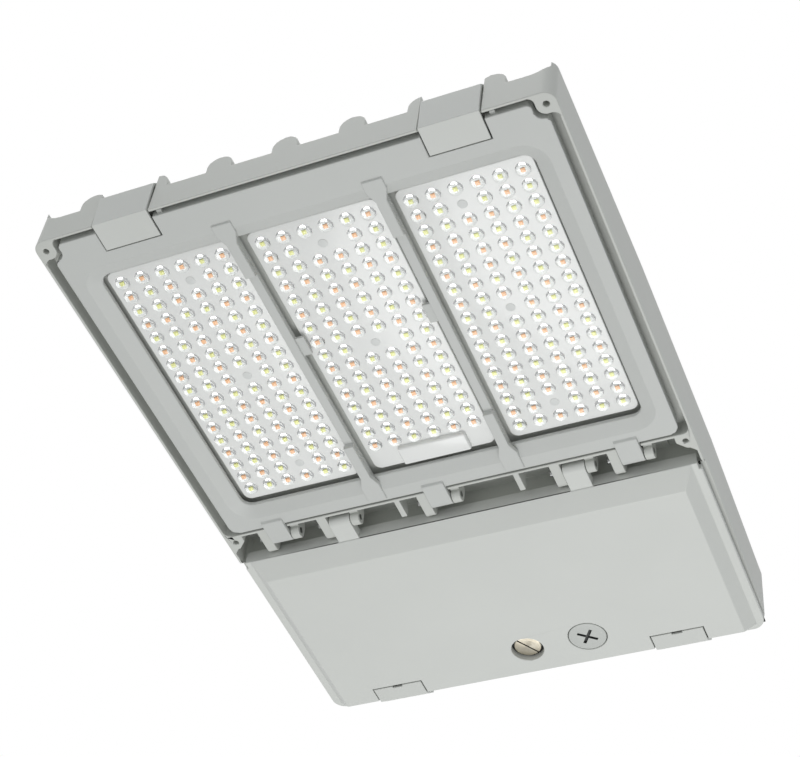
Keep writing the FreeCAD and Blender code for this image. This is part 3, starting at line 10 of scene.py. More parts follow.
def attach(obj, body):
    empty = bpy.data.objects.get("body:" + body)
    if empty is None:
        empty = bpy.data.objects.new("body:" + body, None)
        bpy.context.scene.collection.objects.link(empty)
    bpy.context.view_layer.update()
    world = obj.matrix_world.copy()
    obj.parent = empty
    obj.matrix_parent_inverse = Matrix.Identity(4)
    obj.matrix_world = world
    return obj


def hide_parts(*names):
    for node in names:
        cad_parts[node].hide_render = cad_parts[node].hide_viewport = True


bl_info = {
    "name": "Shoebox area light",
    "version": (1, 0, 0),
    "blender": (4, 5, 0),
    "location": "View3D > Sidebar > Area Light",
    "description": "Builds the finished look of a shoebox area light round its packed frame",
    "category": "Object",
}

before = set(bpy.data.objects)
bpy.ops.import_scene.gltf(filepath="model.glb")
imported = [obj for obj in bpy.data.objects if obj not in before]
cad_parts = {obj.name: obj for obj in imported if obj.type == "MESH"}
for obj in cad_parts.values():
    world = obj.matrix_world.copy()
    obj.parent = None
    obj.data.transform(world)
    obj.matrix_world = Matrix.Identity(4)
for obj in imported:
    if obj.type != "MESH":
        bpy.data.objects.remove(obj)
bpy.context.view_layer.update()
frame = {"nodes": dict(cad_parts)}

MM = 0.001
PAD = Vector((0.0, 470.0, 60.0))     # middle of the mounting pad, from the front screw line and the rim


def at(x, y, z):
    """A place given in mm from the front screw line and the rim, in the frame's metres."""
    return (Vector((x, y, z)) - PAD) * MM


def height(z):
    """A height given in mm above the rim, in the frame's metres."""
    return at(0, 0, z).z


# ---------------------------------------------------------------- values a user would change

class AREALIGHT_PG_sizes(bpy.types.PropertyGroup):
    """Sizes of the finished pieces"""
    cast_edge: bpy.props.FloatProperty(
        name="Cast edge", description="Rounding on the edges of the castings", default=0.6 * MM,
        unit="LENGTH")
    sheet_edge: bpy.props.FloatProperty(
        name="Sheet edge", description="Rounding on the edges of the steel clips", default=0.5 * MM,
        unit="LENGTH")
    dome_radius: bpy.props.FloatProperty(
        name="Lens radius", description="Radius of one lens at the plate", default=6.3 * MM, unit="LENGTH")
    dome_height: bpy.props.FloatProperty(
        name="Lens height", description="Height of one lens above the plate", default=4.3 * MM, unit="LENGTH")
    chip_size: bpy.props.FloatProperty(
        name="Chip size", description="Side of one LED chip", default=3.0 * MM, unit="LENGTH")
    plate_corner: bpy.props.FloatProperty(
        name="Plate corner", description="Corner radius of a lens plate", default=7.0 * MM, unit="LENGTH")
    slot_angle: bpy.props.FloatProperty(
        name="Slot angle", description="Turn of the lock's slot", default=math.radians(55), subtype="ANGLE")
    cross_angle: bpy.props.FloatProperty(
        name="Cross angle", description="Turn of the plug's cross recess", default=math.radians(36),
        subtype="ANGLE")


def linear(hex_text):
    """An sRGB hex colour as linear red, green, blue and alpha."""
    channels = [int(hex_text[i:i + 2], 16) / 255 for i in (1, 3, 5)]
    return [c / 12.92 if c <= 0.04045 else ((c + 0.055) / 1.055) ** 2.4 for c in channels] + [1.0]


def colour_property(name, description, hex_text):
    return bpy.props.FloatVectorProperty(
        name=name, description=description, subtype="COLOR", size=3, min=0.0, max=1.0,
        default=linear(hex_text)[:3])


class AREALIGHT_PG_colours(bpy.types.PropertyGroup):
    """Colours of the finishes"""
    housing: colour_property("Housing", "Powder coat on the housing", "#C6C8C3")
    frame: colour_property("Window frame", "Powder coat on the window frame", "#C5C7C4")
    cover: colour_property("Gear cover", "Powder coat on the gear cover", "#D0D2CE")
    clips: colour_property("Clips", "Powder coat on the clips", "#CDCFCB")
    lens: colour_property("Lens plate", "Moulded lens plates over white boards", "#EEEFED")


# ---------------------------------------------------------------- materials

# Colour sockets of a Mix node, whose names repeat: its two inputs and its output.
MIX_LOW, MIX_HIGH, MIX_OUT = 6, 7, 2


def add_node(tree, kind, settings=None, links=None):
    """Adds a node; settings are properties or socket values, links are sockets fed by (node, output)."""
    node = tree.nodes.new(kind)
    for key, value in (settings or {}).items():
        if isinstance(key, int) or key in node.inputs:
            node.inputs[key].default_value = value
        else:
            setattr(node, key, value)
    for key, (source, output) in (links or {}).items():
        tree.links.new(source.outputs[output], node.inputs[key])
    return node


def new_material(name):
    """A material with an empty tree."""
    material = bpy.data.materials.new(name)
    material.use_nodes = True
    material.node_tree.nodes.clear()
    return material, material.node_tree


def tinted(colour, share):
    """A linear colour made lighter or darker, with its alpha."""
    return [min(1.0, c * share) for c in colour] + [1.0]


def powder_coat(name, colour):
    # Polyester powder coat over an aluminium casting: a matt, very fine orange peel that softens highlights,
    # with a faint unevenness where the film is thicker. The peel is drawn at 1.6 mm so that it shows.
    material, tree = new_material(name)
    place = add_node(tree, "ShaderNodeTexCoord")
    film = add_node(tree, "ShaderNodeTexNoise", {"Scale": 1 / (90 * MM), "Detail": 3.0, "Roughness": 0.55},
                    {"Vector": (place, "Object")})
    shade = add_node(tree, "ShaderNodeMix",
                     {"data_type": "RGBA", MIX_LOW: tinted(colour, 0.965), MIX_HIGH: tinted(colour, 1.03)},
                     {"Factor": (film, "Fac")})
    peel = add_node(tree, "ShaderNodeTexNoise", {"Scale": 1 / (1.6 * MM), "Detail": 2.0},
                    {"Vector": (place, "Object")})
    bump = add_node(tree, "ShaderNodeBump", {"Strength": 0.05, "Distance": 0.25 * MM},
                    {"Height": (peel, "Fac")})
    shader = add_node(tree, "ShaderNodeBsdfPrincipled", {"Roughness": 0.48, "IOR": 1.5, "Metallic": 0.0},
                      {"Base Color": (shade, MIX_OUT), "Normal": (bump, "Normal")})
    add_node(tree, "ShaderNodeOutputMaterial", {}, {"Surface": (shader, "BSDF")})
    return material


def silicone_rubber():
    # Extruded silicone seal: matt black with a faint bloom.
    material, tree = new_material("extruded_silicone")
    place = add_node(tree, "ShaderNodeTexCoord")
    bloom = add_node(tree, "ShaderNodeTexNoise", {"Scale": 1 / (14 * MM), "Detail": 4.0},
                     {"Vector": (place, "Object")})
    shade = add_node(tree, "ShaderNodeMix",
                     {"data_type": "RGBA", MIX_LOW: linear("#161717"), MIX_HIGH: linear("#2A2B2B")},
                     {"Factor": (bloom, "Fac")})
    shader = add_node(tree, "ShaderNodeBsdfPrincipled", {"Roughness": 0.75, "IOR": 1.43},
                      {"Base Color": (shade, MIX_OUT)})
    add_node(tree, "ShaderNodeOutputMaterial", {}, {"Surface": (shader, "BSDF")})
    return material


def lens_sheet_acrylic(colour):
    # Injection-moulded acrylic lens plate lying on a white board: glossy, milky white, faintly uneven.
    material, tree = new_material("moulded_acrylic_sheet")
    place = add_node(tree, "ShaderNodeTexCoord")
    flow = add_node(tree, "ShaderNodeTexNoise", {"Scale": 1 / (30 * MM), "Detail": 2.0},
                    {"Vector": (place, "Object")})
    shade = add_node(tree, "ShaderNodeMix",
                     {"data_type": "RGBA", MIX_LOW: tinted(colour, 0.95), MIX_HIGH: tinted(colour, 1.0)},
                     {"Factor": (flow, "Fac")})
    shader = add_node(tree, "ShaderNodeBsdfPrincipled",
                      {"Roughness": 0.22, "IOR": 1.49, "Coat Weight": 0.25, "Coat Roughness": 0.12},
                      {"Base Color": (shade, MIX_OUT)})
    add_node(tree, "ShaderNodeOutputMaterial", {}, {"Surface": (shader, "BSDF")})
    return material


def lens_dome_acrylic():
    # The optics themselves: clear polished acrylic, so the LED shows bent and enlarged through each one.
    material, tree = new_material("polished_acrylic_lens")
    place = add_node(tree, "ShaderNodeTexCoord")
    flow = add_node(tree, "ShaderNodeTexNoise", {"Scale": 1 / (8 * MM), "Detail": 1.0},
                    {"Vector": (place, "Object")})
    shade = add_node(tree, "ShaderNodeMix",
                     {"data_type": "RGBA", MIX_LOW: linear("#F4F6F6"), MIX_HIGH: linear("#FDFDFD")},
                     {"Factor": (flow, "Fac")})
    shader = add_node(tree, "ShaderNodeBsdfPrincipled",
                      {"Roughness": 0.03, "IOR": 1.49, "Transmission Weight": 1.0},
                      {"Base Color": (shade, MIX_OUT)})
    # Light reaches the plate behind a lens as it does behind real clear acrylic.
    rays = add_node(tree, "ShaderNodeLightPath")
    clear = add_node(tree, "ShaderNodeBsdfTransparent")
    mix = add_node(tree, "ShaderNodeMixShader", {},
                   {0: (rays, "Is Shadow Ray"), 1: (shader, "BSDF"), 2: (clear, "BSDF")})
    add_node(tree, "ShaderNodeOutputMaterial", {}, {"Surface": (mix, "Shader")})
    return material


def led_phosphor(name, hex_middle, hex_edge):
    # Silicone-filled LED package: a saturated phosphor square with a fine grain of two shades.
    material, tree = new_material(name)
    place = add_node(tree, "ShaderNodeTexCoord")
    grain = add_node(tree, "ShaderNodeTexNoise", {"Scale": 1 / (1.2 * MM), "Detail": 2.0},
                     {"Vector": (place, "Object")})
    shade = add_node(tree, "ShaderNodeMix",
                     {"data_type": "RGBA", MIX_LOW: linear(hex_middle), MIX_HIGH: linear(hex_edge)},
                     {"Factor": (grain, "Fac")})
    shader = add_node(tree, "ShaderNodeBsdfPrincipled", {"Roughness": 0.35, "IOR": 1.43},
                      {"Base Color": (shade, MIX_OUT)})
    add_node(tree, "ShaderNodeOutputMaterial", {}, {"Surface": (shader, "BSDF")})
    return material


def turned_metal(name, hex_low, hex_high, centre):
    # Lathe-turned nickel-plated brass: fine rings round the centre, pitch drawn at 0.5 mm so that they show.
    material, tree = new_material(name)
    place = add_node(tree, "ShaderNodeTexCoord")
    centred = add_node(tree, "ShaderNodeMapping", {"Location": -centre}, {"Vector": (place, "Object")})
    rings = add_node(tree, "ShaderNodeTexWave", {
        "wave_type": "RINGS", "rings_direction": "Z", "Scale": 1 / (0.5 * MM) / 20, "Distortion": 0.4},
        {"Vector": (centred, "Vector")})
    tarnish = add_node(tree, "ShaderNodeTexNoise", {"Scale": 1 / (9 * MM), "Detail": 3.0},
                       {"Vector": (place, "Object")})
    shade = add_node(tree, "ShaderNodeMix",
                     {"data_type": "RGBA", MIX_LOW: linear(hex_low), MIX_HIGH: linear(hex_high)},
                     {"Factor": (tarnish, "Fac")})
    bump = add_node(tree, "ShaderNodeBump", {"Strength": 0.12, "Distance": 0.1 * MM},
                    {"Height": (rings, "Fac")})
    shader = add_node(tree, "ShaderNodeBsdfPrincipled",
                      {"Roughness": 0.3, "Metallic": 1.0, "Anisotropic": 0.5},
                      {"Base Color": (shade, MIX_OUT), "Normal": (bump, "Normal")})
    add_node(tree, "ShaderNodeOutputMaterial", {}, {"Surface": (shader, "BSDF")})
    return material


def rolled_steel(name, hex_low, hex_high, roughness, spangle):
    # Zinc-plated or galvanised sheet: a cool grey metal mottled by its crystals or rolling marks.
    material, tree = new_material(name)
    place = add_node(tree, "ShaderNodeTexCoord")
    cells = add_node(tree, "ShaderNodeTexVoronoi", {"Scale": 1 / (spangle * MM)},
                     {"Vector": (place, "Object")})
    shade = add_node(tree, "ShaderNodeMix",
                     {"data_type": "RGBA", MIX_LOW: linear(hex_low), MIX_HIGH: linear(hex_high)},
                     {"Factor": (cells, "Distance")})
    shader = add_node(tree, "ShaderNodeBsdfPrincipled", {"Metallic": 1.0, "Roughness": roughness},
                      {"Base Color": (shade, MIX_OUT)})
    add_node(tree, "ShaderNodeOutputMaterial", {}, {"Surface": (shader, "BSDF")})
    return material


def moulded_plastic(name, hex_low, hex_high, roughness, grain):
    # Injection-moulded nylon or ABS: even colour with a light spark-eroded grain.
    material, tree = new_material(name)
    place = add_node(tree, "ShaderNodeTexCoord")
    texture = add_node(tree, "ShaderNodeTexNoise", {"Scale": 1 / (grain * MM), "Detail": 2.0},
                       {"Vector": (place, "Object")})
    shade = add_node(tree, "ShaderNodeMix",
                     {"data_type": "RGBA", MIX_LOW: linear(hex_low), MIX_HIGH: linear(hex_high)},
                     {"Factor": (texture, "Fac")})
    bump = add_node(tree, "ShaderNodeBump", {"Strength": 0.06, "Distance": 0.2 * MM},
                    {"Height": (texture, "Fac")})
    shader = add_node(tree, "ShaderNodeBsdfPrincipled", {"Roughness": roughness, "IOR": 1.53},
                      {"Base Color": (shade, MIX_OUT), "Normal": (bump, "Normal")})
    add_node(tree, "ShaderNodeOutputMaterial", {}, {"Surface": (shader, "BSDF")})
    return material


# ---------------------------------------------------------------- mesh helpers

WELD_WITHIN = 0.002 * MM
SAME_HEIGHT = 0.001 * MM
SHARP_ANGLE = math.radians(24)       # edges sharper than this are rounded on the castings and clips
FLAT_ANGLE = math.radians(0.5)


def finish_piece(name, bm, body, materials, replaces=(), smooth_under=35):
    """Turns a bmesh into a piece that rides on a body and takes its finish from a slot.

    Edges that bend by less than smooth_under degrees are shaded smooth.
    """
    limit = math.radians(smooth_under)
    for face in bm.faces:
        face.smooth = True
    for edge in bm.edges:
        edge.smooth = len(edge.link_faces) == 2 and edge.calc_face_angle(0.0) < limit
    mesh = bpy.data.meshes.new(name)
    bm.to_mesh(mesh)
    bm.free()
    piece = bpy.data.objects.new(name, mesh)
    bpy.context.scene.collection.objects.link(piece)
    for material in materials:
        mesh.materials.append(material)
    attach(piece, body)
    for node in replaces:
        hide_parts(node)
    return piece


def softened(node, name, body, material, width, segments=2):
    """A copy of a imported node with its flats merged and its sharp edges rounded."""
    bm = bmesh.new()
    bm.from_mesh(frame["nodes"][node].data)
    bmesh.ops.remove_doubles(bm, verts=bm.verts, dist=WELD_WITHIN)
    bmesh.ops.join_triangles(bm, faces=bm.faces, angle_face_threshold=FLAT_ANGLE,
                             angle_shape_threshold=math.pi)
    piece = finish_piece(name, bm, body, [material], [node], smooth_under=18)
    bevel = piece.modifiers.new("rounded edges", "BEVEL")
    bevel.width = width
    bevel.segments = segments
    bevel.limit_method = "ANGLE"
    bevel.angle_limit = SHARP_ANGLE
    bevel.use_clamp_overlap = False
    flats = piece.modifiers.new("flat faces", "WEIGHTED_NORMAL")
    flats.weight = 100
    flats.keep_sharp = True


def dress(node, material):
    """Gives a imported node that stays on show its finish."""
    mesh = frame["nodes"][node].data
    mesh.materials.clear()
    mesh.materials.append(material)


def edges_of(verts):
    return {e for v in verts for e in v.link_edges}


def at_height(vert, z):
    return abs(vert.co.z - z) < SAME_HEIGHT


def round_edges(bm, edges, width, segments):
    bmesh.ops.bevel(bm, geom=list(edges), offset=width, segments=segments, profile=0.5, affect="EDGES",
                    material=-1)


def disc(bm, centre, radius, z_low, z_high, segments=48, edge=0.0):
    """A round disc between two heights, its lower rim rounded by edge."""
    middle = Vector((centre[0], centre[1], (z_low + z_high) / 2))
    made = bmesh.ops.create_cone(
        bm, cap_ends=True, cap_tris=False, segments=segments, radius1=radius, radius2=radius,
        depth=z_high - z_low, matrix=Matrix.Translation(middle))
    if edge:
        rim = [e for e in edges_of(made["verts"]) if all(at_height(v, z_low) for v in e.verts)]
        round_edges(bm, rim, edge, segments=3)


def carve(bm, cutter, materials):
    """Cuts one closed bmesh out of another; the cut's faces keep the cutter's material number."""
    helpers = []
    for name, source in (("blank", bm), ("cutter", cutter)):
        mesh = bpy.data.meshes.new(name)
        source.to_mesh(mesh)
        source.free()
        for material in materials:
            mesh.materials.append(material)
        helpers.append(bpy.data.objects.new(name, mesh))
        bpy.context.scene.collection.objects.link(helpers[-1])
    blank, tool = helpers
    cut = blank.modifiers.new("cut", "BOOLEAN")
    cut.operation = "DIFFERENCE"
    cut.solver = "EXACT"
    cut.object = tool
    carved = bmesh.new()
    carved.from_mesh(blank.evaluated_get(bpy.context.evaluated_depsgraph_get()).data)
    for helper in helpers:
        mesh = helper.data
        bpy.data.objects.remove(helper)
        bpy.data.meshes.remove(mesh)
    return carved


def bar(bm, centre, turn, length, width, depth, material_index):
    """A bar across a centre, turned about Z, that stands from below a face to a depth above it."""
    size = Matrix.Diagonal((length, width, 2 * depth, 1.0))
    place = Matrix.Translation(centre) @ Matrix.Rotation(turn, 4, "Z") @ size
    bmesh.ops.create_cube(bm, size=1.0, matrix=place)
    for face in bm.faces:
        face.material_index = material_index


def circle(bm, centre, radius, z, segments):
    """A circle at a height; returns its edges."""
    place = Matrix.Translation(Vector((centre[0], centre[1], z)))
    made = bmesh.ops.create_circle(bm, cap_ends=False, segments=segments, radius=radius, matrix=place)
    return list(edges_of(made["verts"]))


def ring(bm, centre, inner, outer, z_low, z_high, segments=48):
    """A flat ring of square section between two heights."""
    corners = ((outer, z_low), (outer, z_high), (inner, z_high), (inner, z_low))
    loops = [circle(bm, centre, radius, z, segments) for radius, z in corners]
    for one, other in zip(loops, loops[1:] + loops[:1]):
        bmesh.ops.bridge_loops(bm, edges=one + other)


def block(bm, low, high):
    """A box between two corners; returns its vertices."""
    low, high = Vector(low), Vector(high)
    matrix = Matrix.Translation((low + high) / 2) @ Matrix.Diagonal((*(high - low), 1.0))
    return bmesh.ops.create_cube(bm, size=1.0, matrix=matrix)["verts"]


# ---------------------------------------------------------------- lens field

# Places and heights in mm, from the front screw line and the rim. The plates face down.
MODULE_CENTRES = {"left": -126.6, "middle": 0.0, "right": 126.6}
PLATE_HALF_WIDTH = 56
PLATE_FRONT, PLATE_REAR = 42, 309
PLATE_FACE, PLATE_BACK = 10.5, 13.4
PLATE_EDGE, HUMP_EDGE, CAP_EDGE = 0.8, 1.8, 0.35
HUMP_LOW = (-28, 289, 5.9)
HUMP_HIGH = (34, 308, 10.6)
DOME_BASE = 10.48                    # just clear of the plate's face
CHIP_FACE, CHIP_BACK = 9.9, 10.45
CAP_RADIUS = 4.0
CAP_FACE, CAP_BACK = 10.1, 10.6

# The grid of lenses.
COLUMNS = 6
ROWS = {"left": 17, "middle": 16, "right": 17}
COLUMN_PITCH, ROW_PITCH = 18.2, 15.15
FIRST_ROW = 54.2

# Column and row of each module screw; the lenses that it would touch are left out.
SCREW_CELLS = {
    "left": [(4, 2), (4, 9), (4, 16)],
    "middle": [(3.5, 2), (3.5, 9)],
    "right": [(3, 2), (3, 9), (3, 16)],
}

# A lens in profile: shares of its radius and of its height, from the base to the crown.
LENS_PROFILE = ((1.0, 0.0), (0.97, 0.28), (0.84, 0.62), (0.58, 0.88), (0.25, 0.985))


def cell_place(side, column, row):
    """The place of a column and row of the lens grid, at the plate's face."""
    x = MODULE_CENTRES[side] + (column - (COLUMNS + 1) / 2) * COLUMN_PITCH
    return at(x, FIRST_ROW + (row - 1) * ROW_PITCH, PLATE_FACE)


def lens_cells(side):
    """The columns and rows of one module that hold a lens."""
    for row in range(1, ROWS[side] + 1):
        screws = [column for column, screw_row in SCREW_CELLS[side] if screw_row == row]
        for column in range(1, COLUMNS + 1):
            if all(abs(column - screw) >= 1 for screw in screws):
                yield column, row


class AREALIGHT_OT_lens_plates(bpy.types.Operator):
    """Moulded plates that carry the lenses, with the cable hump on the middle one"""
    bl_idname = "area_light.lens_plates"
    bl_label = "Lens plates"

    def execute(self, context):
        sizes = context.scene.area_light_sizes
        acrylic = lens_sheet_acrylic(context.scene.area_light_colours.lens)
        for side, centre in MODULE_CENTRES.items():
            bm = bmesh.new()
            low = at(centre - PLATE_HALF_WIDTH, PLATE_FRONT, PLATE_FACE)
            high = at(centre + PLATE_HALF_WIDTH, PLATE_REAR, PLATE_BACK)
            block(bm, low, high)
            upright = [e for e in bm.edges if not at_height(e.verts[0], e.verts[1].co.z)]
            round_edges(bm, upright, sizes.plate_corner, segments=8)
            under = [e for e in bm.edges if all(at_height(v, low.z) for v in e.verts)]
            round_edges(bm, under, PLATE_EDGE * MM, segments=3)
            if side == "middle":
                self.add_hump(bm)
            finish_piece(f"lens_sheet_{side}", bm, "casting", [acrylic],
                         [f"lens_plate_{side}"])
        return {"FINISHED"}

    def add_hump(self, bm):
        """The raised cover over the cable plug at the rear of the middle plate."""
        low = at(*HUMP_LOW)
        verts = block(bm, low, at(*HUMP_HIGH))
        outside = [e for e in edges_of(verts) if any(at_height(v, low.z) for v in e.verts)]
        round_edges(bm, outside, HUMP_EDGE * MM, segments=4)


class AREALIGHT_OT_lenses(bpy.types.Operator):
    """Clear domes over the LEDs"""
    bl_idname = "area_light.lenses"
    bl_label = "Lenses"

    def execute(self, context):
        sizes = context.scene.area_light_sizes
        clear = lens_dome_acrylic()
        for side in MODULE_CENTRES:
            bm = bmesh.new()
            for column, row in lens_cells(side):
                self.add_dome(bm, cell_place(side, column, row), sizes.dome_radius, sizes.dome_height)
            finish_piece(f"lens_domes_{side}", bm, "casting", [clear], smooth_under=80)
        return {"FINISHED"}

    def add_dome(self, bm, place, radius, rise):
        """One closed dome: circles that follow the profile, shut by a flat base and a small crown."""
        loops = [circle(bm, place, radius * share, height(DOME_BASE) - rise * drop, segments=12)
                 for share, drop in LENS_PROFILE]
        for upper, lower in zip(loops, loops[1:]):
            bmesh.ops.bridge_loops(bm, edges=upper + lower)
        for loop in (loops[0], loops[-1]):
            bmesh.ops.contextual_create(bm, geom=loop)


class AREALIGHT_OT_chips(bpy.types.Operator):
    """LED chips that show through the lenses, in two shades of phosphor"""
    bl_idname = "area_light.chips"
    bl_label = "LED chips"

    def execute(self, context):
        half = context.scene.area_light_sizes.chip_size / 2
        warm = led_phosphor("warm_white_phosphor", "#F6B985", "#F8C8A0")
        cool = led_phosphor("cool_white_phosphor", "#E3E68C", "#ECECA8")
        for side in MODULE_CENTRES:
            bm = bmesh.new()
            for column, row in lens_cells(side):
                place = cell_place(side, column, row)
                verts = block(bm, (place.x - half, place.y - half, height(CHIP_FACE)),
                              (place.x + half, place.y + half, height(CHIP_BACK)))
                warm_chip = (column + row + (row // 3) * (column // 2)) % 2
                for face in {f for v in verts for f in v.link_faces}:
                    face.material_index = warm_chip
            finish_piece(f"led_chips_{side}", bm, "casting", [cool, warm])
        return {"FINISHED"}


class AREALIGHT_OT_screw_spots(bpy.types.Operator):
    """Low screw heads between the lenses, seen as soft grey spots"""
    bl_idname = "area_light.screw_spots"
    bl_label = "Module screws"

    def execute(self, context):
        # Plastic-capped screws: almost the plate's own white, a little greyer.
        cap = moulded_plastic("nylon_screw_cap", "#D6D8D6", "#DCDEDC", roughness=0.5, grain=3.0)
        bm = bmesh.new()
        for side, cells in SCREW_CELLS.items():
            for column, row in cells:
                disc(bm, cell_place(side, column, row), CAP_RADIUS * MM, height(CAP_FACE), height(CAP_BACK),
                     segments=24, edge=CAP_EDGE * MM)
        finish_piece("module_screw_caps", bm, "casting", [cap], ["module_screws"])
        return {"FINISHED"}


# ---------------------------------------------------------------- castings, clips and fittings

# Places, heights and sizes in mm. The lock and the plug face down: a face is lower than what is behind it.
LOCK_AXIS = (0, 544)
LOCK_FACE, LOCK_HEAD_BACK, LOCK_RADIUS = -10, -7, 12.55
SLOT_LENGTH, SLOT_WIDTH, SLOT_DEPTH = 30, 1.5, 1.3
BARREL_FRONT, BARREL_BACK, BARREL_RADIUS = -7.2, 5.15, 8.0
SQUARE_FRONT, SQUARE_BACK, SQUARE_HALF = 5.0, 12.45, 4
SEAL_FRONT, SEAL_BACK, SEAL_INNER, SEAL_OUTER = -7.6, -6.85, 12.8, 15.2
PLUG_AXIS = (59, 542)
PLUG_FACE, PLUG_HEAD_BACK, PLUG_RADIUS = -14, -9.6, 17.35
STEM_BACK, STEM_RADIUS = -1.5, 11.4
ARM_WIDTH, ARM_DEPTH = 3.0, 2.4
CROSS_ARMS = ((0, 20), (88, 19.4))   # turn in degrees from the first arm, and length
FACE_EDGE = 0.5                      # rounding of the lock's and the plug's faces


class AREALIGHT_OT_castings(bpy.types.Operator):
    """Housing, window frame and gear cover with cast edges and powder coat"""
    bl_idname = "area_light.castings"
    bl_label = "Castings"

    def execute(self, context):
        colours = context.scene.area_light_colours
        width = context.scene.area_light_sizes.cast_edge
        softened("housing", "housing_casting", "casting",
                 powder_coat("housing_powder_coat", colours.housing), width)
        softened("optical_frame", "window_frame_casting", "window_frame",
                 powder_coat("frame_powder_coat", colours.frame), width)
        softened("gear_cover", "gear_cover_casting", "cover",
                 powder_coat("cover_powder_coat", colours.cover), width)
        return {"FINISHED"}


class AREALIGHT_OT_clips(bpy.types.Operator):
    """Bent steel clips, coated like the castings"""
    bl_idname = "area_light.clips"
    bl_label = "Clips"

    def execute(self, context):
        coat = powder_coat("clip_powder_coat", context.scene.area_light_colours.clips)
        width = context.scene.area_light_sizes.sheet_edge
        for end in ("front", "rear"):
            for side in ("left", "right"):
                softened(f"{end}_clip_{side}", f"{end}_clip_sheet_{side}", f"clip_{end}_{side}",
                         coat, width, segments=3)
        return {"FINISHED"}


class AREALIGHT_OT_lock(bpy.types.Operator):
    """The cover lock's turned face with its screwdriver slot"""
    bl_idname = "area_light.lock"
    bl_label = "Lock"

    def execute(self, context):
        angle = context.scene.area_light_sizes.slot_angle
        centre = at(*LOCK_AXIS, LOCK_FACE)
        brass = turned_metal("nickel_plated_brass", "#D9CDB4", "#F2ECDD", centre)
        # Painted shade at the foot of the slot: a rough, almost black metal in place of the brass, for the
        # shadow in the slot.
        slot_shade = rolled_steel("slot_painted_shade", "#1C1A16", "#2E2B25", roughness=0.6, spangle=2.0)
        head = bmesh.new()
        disc(head, centre, LOCK_RADIUS * MM, centre.z, height(LOCK_HEAD_BACK), segments=64, edge=FACE_EDGE * MM)
        slot = bmesh.new()
        bar(slot, centre, angle, SLOT_LENGTH * MM, SLOT_WIDTH * MM, SLOT_DEPTH * MM, material_index=1)
        head = carve(head, slot, [brass, slot_shade])
        disc(head, centre, BARREL_RADIUS * MM, height(BARREL_FRONT), height(BARREL_BACK), segments=32)
        x, y = LOCK_AXIS
        block(head, at(x - SQUARE_HALF, y - SQUARE_HALF, SQUARE_FRONT),
              at(x + SQUARE_HALF, y + SQUARE_HALF, SQUARE_BACK))
        finish_piece("lock_cylinder", head, "lock", [brass, slot_shade], ["lock_head"])
        seal = bmesh.new()
        ring(seal, centre, SEAL_INNER * MM, SEAL_OUTER * MM, height(SEAL_FRONT), height(SEAL_BACK))
        finish_piece("lock_dust_seal", seal, "cover", [silicone_rubber()])
        return {"FINISHED"}


class AREALIGHT_OT_plug(bpy.types.Operator):
    """The access plug with its cross recess"""
    bl_idname = "area_light.plug"
    bl_label = "Access plug"

    def execute(self, context):
        angle = context.scene.area_light_sizes.cross_angle
        centre = at(*PLUG_AXIS, PLUG_FACE)
        grey = moulded_plastic("moulded_nylon_plug", "#BBBEBA", "#C6C8C4", roughness=0.45, grain=1.4)
        # Painted shade: the faces cut by the cross recess take a dark grey instead of the plug's own grey, for
        # the shadow in the recess.
        shaded = moulded_plastic("plug_recess_painted_shade", "#3A3C3B", "#454746", roughness=0.6, grain=1.4)
        cap = bmesh.new()
        disc(cap, centre, PLUG_RADIUS * MM, centre.z, height(PLUG_HEAD_BACK), segments=64, edge=FACE_EDGE * MM)
        # The cross is cut one arm at a time, because a cutter that crosses itself spoils the cut.
        for turn, length in CROSS_ARMS:
            arm = bmesh.new()
            bar(arm, centre, angle + math.radians(turn), length * MM, ARM_WIDTH * MM, ARM_DEPTH * MM,
                material_index=1)
            cap = carve(cap, arm, [grey, shaded])
        disc(cap, centre, STEM_RADIUS * MM, height(PLUG_HEAD_BACK), height(STEM_BACK), segments=32)
        finish_piece("plug_cap", cap, "cover", [grey, shaded], ["access_plug"])
        return {"FINISHED"}


class AREALIGHT_OT_inner_gear(bpy.types.Operator):
    """Finishes on seals, pins and the gear behind the cover"""
    bl_idname = "area_light.inner_gear"
    bl_label = "Seals, pins and gear"

    def execute(self, context):
        rubber = silicone_rubber()
        pins = rolled_steel("stainless_pin", "#8E8F8F", "#B4B5B4", roughness=0.32, spangle=6.0)
        tray = rolled_steel("galvanised_tray", "#9CA1A2", "#C3C8C9", roughness=0.38, spangle=9.0)
        zinc = rolled_steel("zinc_plated_screw", "#A9ABAC", "#CDCDC8", roughness=0.3, spangle=4.0)
        enamel = moulded_plastic("enamelled_driver_case", "#DCDCD8", "#E4E4E0", roughness=0.4, grain=2.0)
        black = moulded_plastic("black_surge_case", "#232425", "#2C2D2E", roughness=0.5, grain=1.2)
        ivory = moulded_plastic("ivory_nylon_terminal", "#DAD6C6", "#E4E0D2", roughness=0.45, grain=1.2)
        board = moulded_plastic("white_solder_mask", "#E9E9E4", "#F0F0EC", roughness=0.35, grain=5.0)
        finishes = {
            "frame_gasket": rubber, "cover_gasket": rubber, "access_plug_seal": rubber, "entry_grommet": rubber,
            "lens_seal_left": rubber, "lens_seal_middle": rubber, "lens_seal_right": rubber,
            "frame_hinge_pins": pins, "cover_hinge_pins": pins,
            "front_clip_pins": pins, "rear_clip_pins": pins,
            "lock_cam": zinc, "lock_nut": zinc, "tray_screws": zinc, "driver_screws": zinc,
            "gear_tray": tray, "driver_left": enamel, "driver_right": enamel,
            "surge_protector": black, "terminal_block": ivory, "board_connector": ivory,
            "led_board_left": board, "led_board_middle": board, "led_board_right": board,
        }
        for node, material in finishes.items():
            dress(node, material)
        return {"FINISHED"}


# ---------------------------------------------------------------- stage

# The camera: its place in mm, the directions of its right and top in the frame, and its focal length in mm.
CAMERA_PLACE = (477.7, -646.4, -1104.6)
CAMERA_RIGHT = (0.91950, 0.38148, 0.09487)
CAMERA_UP = (0.23072, -0.71911, 0.65547)
FOCAL_LENGTH = 80.61

